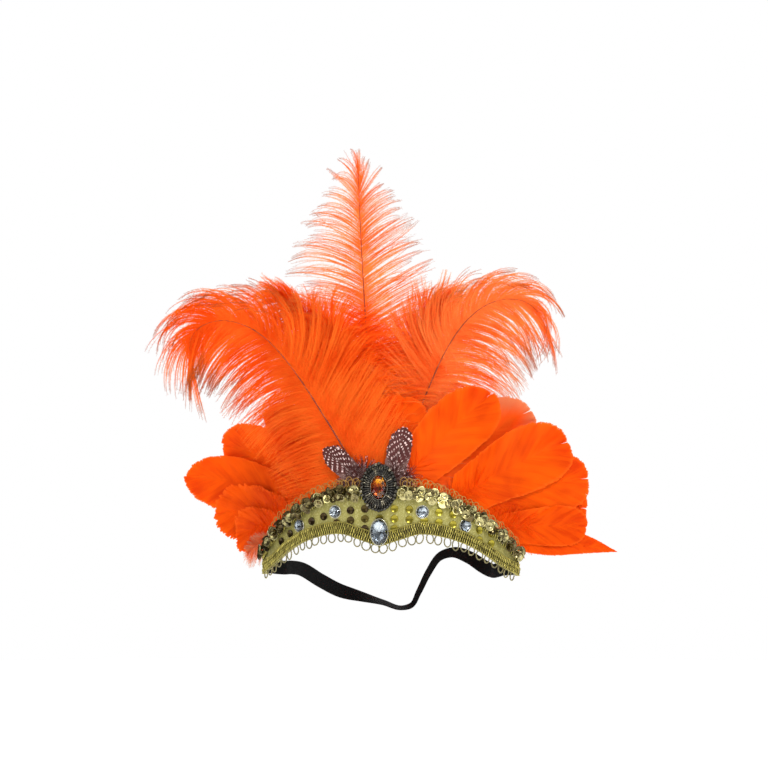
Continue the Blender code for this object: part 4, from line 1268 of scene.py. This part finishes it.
def make_cup_sequins():
    """Ruffled clusters of cup sequins: faceted cups with a hole, fanned out from their cluster's middle.
    Their tones hold a painted reflection, dark on the left and brighter to the right.
    """
    dice = np.random.default_rng(23)
    middles = np.linspace(-band_half_angle + 2.0, band_half_angle - 2.0, ruffle_clusters)
    angles = np.repeat(middles, sequins_in_cluster)
    count = len(angles)
    petal = np.tile(np.arange(sequins_in_cluster), ruffle_clusters)
    turn = 2 * np.pi * petal / sequins_in_cluster + np.repeat(dice.uniform(0, 2 * np.pi, ruffle_clusters),
                                                              sequins_in_cluster)
    fit = trim_fit(angles)
    off_x = cluster_half_width * np.cos(turn) + dice.normal(0, sequin_stray, count)
    off_y = cluster_half_height * np.sin(turn) * fit + dice.normal(0, sequin_stray, count)
    spots = angles + angle_span(off_x)
    heights = band_edge(np.clip(angles, -60, 60), "upper") - 0.50 * trim_height * fit + off_y
    beside = np.abs(spots) > angle_span(brooch_width / 2 + brooch_room)
    clear = beside | (heights < brooch_lift - brooch_height / 2)
    spots, heights, turn = spots[clear], heights[clear], turn[clear]
    count = len(spots)
    rings = [(0.14, 0.0), (0.20, 0.00006), (0.46, 0.00010), (0.52, 0.00030), (0.80, 0.00052), (1.0, 0.00098),
             (1.0, 0.00090), (0.80, 0.00044), (0.52, 0.00022), (0.46, 0.00002), (0.20, -0.00006)]
    size = sequin_radius * dice.normal(1.0, 0.06, count)
    lean_x = np.radians(dice.normal(0, sequin_tilt, count) - sequin_fan * np.sin(turn))
    lean_y = np.radians(dice.normal(0, sequin_tilt, count) + sequin_fan * np.cos(turn))
    out = band_wall + trim_thickness + 0.0016 + dice.uniform(0, 0.0012, count)
    grid = discs(spots, heights, out, size, rings, lean_x, lean_y, dice.uniform(0, 1, count), 14)
    # bright is a painted reflection: dark sequins on the left, brighter to the right, dimming again past the
    # right end
    bright = ease((spots + 16) / 30) * (1 - 0.8 * ease((spots - reflection_fade_angle) / 10))
    tones = 0.10 + 0.22 * bright + dice.normal(0, 0.20, count)
    full = (dice.uniform(0, 1, count) < full_bright_share) & (spots < reflection_fade_angle)
    tones = np.clip(np.where(full, 1.0, tones), 0.0, 1)
    shape = Shape()
    shape.add_grids(grid, tones=tones[:, None, None], ring=True, loop=True)
    shape.make("cup_sequins", ["cup_sequins"], "gold_sequin")


# Stones and brooch

def oval(half_width, half_height, count, turn=0.0):
    """Points of an oval, as across and up."""
    angles = 2 * np.pi * (np.arange(count) + turn) / count
    return np.stack([half_width * np.sin(angles), half_height * np.cos(angles)], axis=-1)


def stand_on_band(flat, depth, angle, height, out):
    """Places flat points on the band: across and up along it, depth away from it."""
    across, up, outward = band_axes(np.float64(angle))
    depth = np.broadcast_to(depth, flat.shape[:-1])[..., None]
    centre = band_point(np.float64(angle), height, out)
    return centre + flat[..., :1] * across + flat[..., 1:] * up + depth * outward


def stone_rows():
    """Name, size, sides, angle, height and seat of every stone."""
    rows = [(stone.name, stone_diameter, stone_diameter, stone_depth, 10, stone.angle,
             float(window_middle(stone.angle)), braid_seat) for stone in ROUND_STONES]
    middle = float(band_edge(0.0, "lower")) + centre_stone_height / 2 + 0.0009
    rows.append(("band_stone_centre", centre_stone_width, centre_stone_height, centre_stone_depth, 14, 0.0,
                 middle, braid_seat + braid_thickness + clearance))
    rows.append(("brooch_stone", brooch_stone_width, brooch_stone_height, brooch_stone_depth, 14, 0.0,
                 brooch_lift, brooch_seat))
    return rows


def make_stone_backs():
    """Mirror backs inside the stones, as shallow faceted cups with painted highlights on the centre and
    brooch stones, and fine rims round the stones' feet.
    """
    dice = np.random.default_rng(5)
    silver, fire, rims = Shape(), Shape(), Shape()
    rings = [(0.94, 0.30, 0.0), (0.62, 0.16, 0.5), (0.30, 0.08, 0.0), (0.03, 0.05, 0.5)]
    for name, width, height, depth, sides, angle, middle, seat in stone_rows():
        ovals = [oval(width / 2 * size, height / 2 * size, sides, turn) for size, _, turn in rings]
        points = np.stack([stand_on_band(flat, depth * ring[1], angle, middle, seat)
                           for flat, ring in zip(ovals, rings)])[None]
        tones = dice.uniform(0.0, 0.9, points.shape[:-1])
        if name == "band_stone_centre":
            # Painted highlight: the upper facets of the centre stone's back are brighter
            lit = np.cos(2 * np.pi * np.arange(sides) / sides) > 0.3
            tones = dice.uniform(0.05, 0.45, points.shape[:-1]) + 0.5 * lit
        if name == "brooch_stone":
            # Painted glints: a yellow one on the upper facets and a pink one at the lower right, strongest on
            # the outer rings
            way = 2 * np.pi * np.arange(sides) / sides
            glint = np.where(np.cos(way) > 0.80, 1.0, np.where(np.abs(way - 2.6) < 0.30, 0.40, 0.0))
            glint = glint * np.array(glint_rings)[:, None]
            tones = np.clip(dice.uniform(0.0, 0.14, points.shape[:-1]) + glint, 0, 1)
        back = fire if name == "brooch_stone" else silver
        back.add_grids(points[:, :, ::-1], tones=tones[:, :, ::-1], ring=True, caps=(-1,), smooth=False)
        rim = oval(width / 2 + rim_lift, height / 2 + rim_lift, 60)
        path = stand_on_band(np.concatenate([rim, rim[:1]]), rim_lift, angle, middle, seat)[None]
        rims.add_tubes(path, rim_wire, band_axes(np.float64(angle))[2], 6, 0.6)
    silver.make("stone_backs", ["silver_back"], "clear_stone")
    fire.make("brooch_stone_back", ["fire_back"], "red_stone")
    rims.make("stone_rims", ["stone_setting"], "gold_sequin")


def turned_beads(centres, axes, guide, section, sides):
    """Batch of turned beads: a section of (along, radius) points spun round each axis."""
    along, radius = np.array(section).T
    lift = square_to(axes, np.broadcast_to(guide, axes.shape))
    side = np.cross(lift, axes)
    angles = 2 * np.pi * np.arange(sides) / sides
    ring = np.cos(angles)[:, None] * side[:, None, None, :] + np.sin(angles)[:, None] * lift[:, None, None, :]
    middles = centres[:, None, None, :] + along[:, None, None] * axes[:, None, None, :]
    return middles + radius[:, None, None] * ring


def bead_tones(dice, middle, count):
    """A dark tone for each bead, with a bright one now and then as a painted glint."""
    tones = dice.normal(middle, 0.10, count) + 0.8 * (dice.uniform(0, 1, count) < 0.15)
    return np.clip(tones, 0, 1)[:, None, None]


def make_brooch_beads():
    """Brooch beads: round beads along the rim, and two tiers of long beads set like rays round the stone."""
    dice = np.random.default_rng(3)
    shape = Shape()
    half = np.array([brooch_width, brooch_height]) / 2
    way = oval(1.0, 1.0, rim_beads)
    out_dir = np.stack([way[:, 0], np.zeros(rim_beads), way[:, 1]], axis=-1)
    ring = way * (half - bead_inset + dice.normal(0, 0.0003, (rim_beads, 1)))
    centres = stand_on_band(ring, 0.0009 + dice.normal(0, 0.0002, rim_beads), 0.0, brooch_lift,
                            brooch_seat)
    arc = np.linspace(0, np.pi, 9)
    section = np.stack([-rim_bead_radius * np.cos(arc), rim_bead_radius * np.sin(arc) + 0.00003], axis=-1)
    shape.add_grids(turned_beads(centres, out_dir, (0.0, 1.0, 0.0), section, 12),
                    tones=bead_tones(dice, 0.10, rim_beads), ring=True, caps=BOTH_ENDS)
    inner = np.array([brooch_stone_width, brooch_stone_height]) / 2
    tiers = ((0.0008, 0.0052, 0.0018, bugles), (0.0040, 0.0072, 0.0012, lower_bugles))
    for tier, (start, end, lift, count) in enumerate(tiers):
        rim = oval(1.0, 1.0, count, 0.5 * tier)
        reach = np.minimum(inner + end, half - bead_inset)
        first = stand_on_band(rim * (inner + start), lift, 0.0, brooch_lift, brooch_seat)
        last = stand_on_band(rim * reach, lift - 0.0006, 0.0, brooch_lift, brooch_seat)
        long = np.linalg.norm(last - first, axis=-1).mean()
        section = [(-0.5 * long, bugle_bore), (-0.5 * long, bugle_radius), (0.0, bugle_radius * 1.05),
                   (0.5 * long, bugle_radius), (0.5 * long, bugle_bore)]
        beads = turned_beads((first + last) / 2, unit(last - first), (0.0, 1.0, 0.0), section, 8)
        shape.add_grids(beads, tones=bead_tones(dice, 0.08, count), ring=True, caps=BOTH_ENDS)
    shape.make("brooch_beads", ["gunmetal_bead"], "gunmetal", "brooch_bead_rim")


# Strap

def make_strap():
    """Flat elastic along its route: a section with rounded edges and fine ribs, rolled with the route."""
    half_chord = band_radius * math.sin(math.radians(band_half_angle))
    free = np.array([(p.x * half_chord, p.y * strap_depth, p.z * strap_drop) for p in STRAP_ROUTE])
    tab = np.array(strap_tab_angles)
    tab_height = band_edge(strap_tab_angles[0], "lower") + strap_tab_height
    tab_out = -clearance - strap_thickness / 2
    ends = [band_point(place, tab_height, tab_out) for place in (-tab, tab[::-1])]
    points = np.concatenate([ends[0], free, ends[1]])
    flat = [0.0] * len(tab)
    rolls = flat + [p.roll for p in STRAP_ROUTE] + flat
    spacing = np.concatenate([[0.0], np.cumsum(np.linalg.norm(np.diff(points, axis=0), axis=1))])
    at = np.linspace(0.0, spacing[-1], 260)
    path = np.stack([smooth_read(spacing, points[:, axis], at) for axis in range(3)], axis=-1)
    roll = np.radians(smooth_read(spacing, rolls, at))
    along = unit(np.gradient(path, axis=0))
    upright = unit(np.stack([-along[:, 2], 0 * at, along[:, 0]], axis=-1))
    width = np.cos(roll)[:, None] * upright + np.sin(roll)[:, None] * np.array([0.0, 1.0, 0.0])
    width = square_to(along, width)
    face = np.cross(along, width)
    u = np.linspace(-1, 1, 37)
    rib = strap_rib_height * np.cos(np.pi * strap_ribs * u) * (np.abs(u) < 0.97)
    edge = np.sqrt(np.maximum(1 - np.abs(u) ** 14, 0.0))
    half = (strap_thickness / 2 - strap_rib_height) * edge + rib
    section = np.concatenate([np.stack([u, half], axis=-1), np.stack([u[::-1], -half[::-1]], axis=-1)[1:-1]])
    grid = (path[:, None, :] + section[:, :1] * strap_width / 2 * width[:, None, :]
            + section[:, 1:] * face[:, None, :])[None]
    grid = grid[:, :, ::-1]
    places = stacked((section[::-1, 0] + 1) / 2, (at / at[-1])[:, None])[None]
    shape = Shape()
    shape.add_grids(grid, places, 0.5, ring=True, caps=BOTH_ENDS)
    shape.make("elastic_strap", ["black_elastic_weave"], "black_elastic", "strap")


# Stage

def make_stage():
    """Pale floor, soft lights and the camera at the picture's angle."""
    scene = bpy.context.scene
    scene.view_settings.view_transform = "Standard"
    mesh = bpy.data.meshes.new("floor")
    rim = oval(floor_radius, floor_radius, 96)[::-1]
    rim = np.concatenate([rim, np.full((96, 1), -floor_drop)], axis=1)
    mesh.from_pydata(rim.tolist(), [], [list(range(96))])
    floor = bpy.data.objects.new("floor", mesh)
    scene.collection.objects.link(floor)
    mesh.materials.append(FINISHES["pale_floor"])

    world = bpy.data.worlds.new("studio")
    scene.world = world
    world.use_nodes = True
    nodes = Nodes(world.node_tree)
    nodes.tree.nodes.clear()
    ray = nodes.put("LightPath")
    split = nodes.put("SeparateXYZ", i0=nodes.put("TexCoord")["Generated"])
    side = nodes.step(split[0], -0.75, 0.35)
    top = nodes.step(split[2], -0.35, 0.65)
    shine = nodes.times(nodes.plus(nodes.times(side, 0.75), 0.10), nodes.plus(top, 0.30))
    strength = nodes.put("Mix", {"data_type": "FLOAT"}, i0=ray["Is Glossy Ray"], i2=0.62, i3=shine)[0]
    strength = nodes.put("Mix", {"data_type": "FLOAT"}, i0=ray["Is Camera Ray"], i2=strength, i3=1.0)[0]
    sky = nodes.put("Background", Color=(1, 1, 1), Strength=strength)[0]
    nodes.link(sky, nodes.tree.nodes.new("ShaderNodeOutputWorld").inputs[0])

    for name, place, size, power in (("key_light", (0.9, -1.5, 1.3), 0.7, 26.0),
                                     ("fill_light", (-1.3, -1.4, 0.5), 1.0, 7.0),
                                     ("back_light", (0.3, 1.6, 1.3), 1.0, 20.0)):
        lamp = bpy.data.lights.new(name, "AREA")
        lamp.size = size
        lamp.energy = power
        item = bpy.data.objects.new(name, lamp)
        item.location = place
        aim = np.array(light_aim) - place
        tilt = math.atan2(math.hypot(aim[0], aim[1]), -aim[2])
        item.rotation_euler = (tilt, 0.0, math.atan2(-aim[0], aim[1]))
        scene.collection.objects.link(item)

    lens = bpy.data.cameras.new("camera")
    lens.sensor_width = sensor_width
    lens.lens = sensor_width * camera_distance / picture_width
    lens.clip_end = 20.0
    camera = bpy.data.objects.new("camera", lens)
    turn = math.radians(camera_azimuth)
    right, height = picture_centre
    across, ahead = math.cos(turn), math.sin(turn)
    camera.location = (right * across + camera_distance * ahead, right * ahead - camera_distance * across,
                       height)
    camera.rotation_euler = (math.radians(90), 0.0, turn)
    scene.collection.objects.link(camera)
    scene.camera = camera


# Making

make_stage()
make_band_cloth()
make_foil_dots()
make_lower_braid()
make_picot_loops()
make_trim_braid()
make_cup_sequins()
make_stone_backs()
make_brooch_beads()
for number, feather in enumerate(FEATHERS):
    make_feather(feather, first_feather_seed + number)
make_strap()

KEPT_SOLIDS = {"brooch_base": "gunmetal_bead", "brooch_stone": "red_gem", "band_stone_centre": "clear_gem"}
KEPT_SOLIDS.update({stone.name: "clear_gem" for stone in ROUND_STONES})
for name, finish in KEPT_SOLIDS.items():
    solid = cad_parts[name]
    solid.data.materials.clear()
    solid.data.materials.append(FINISHES[finish])
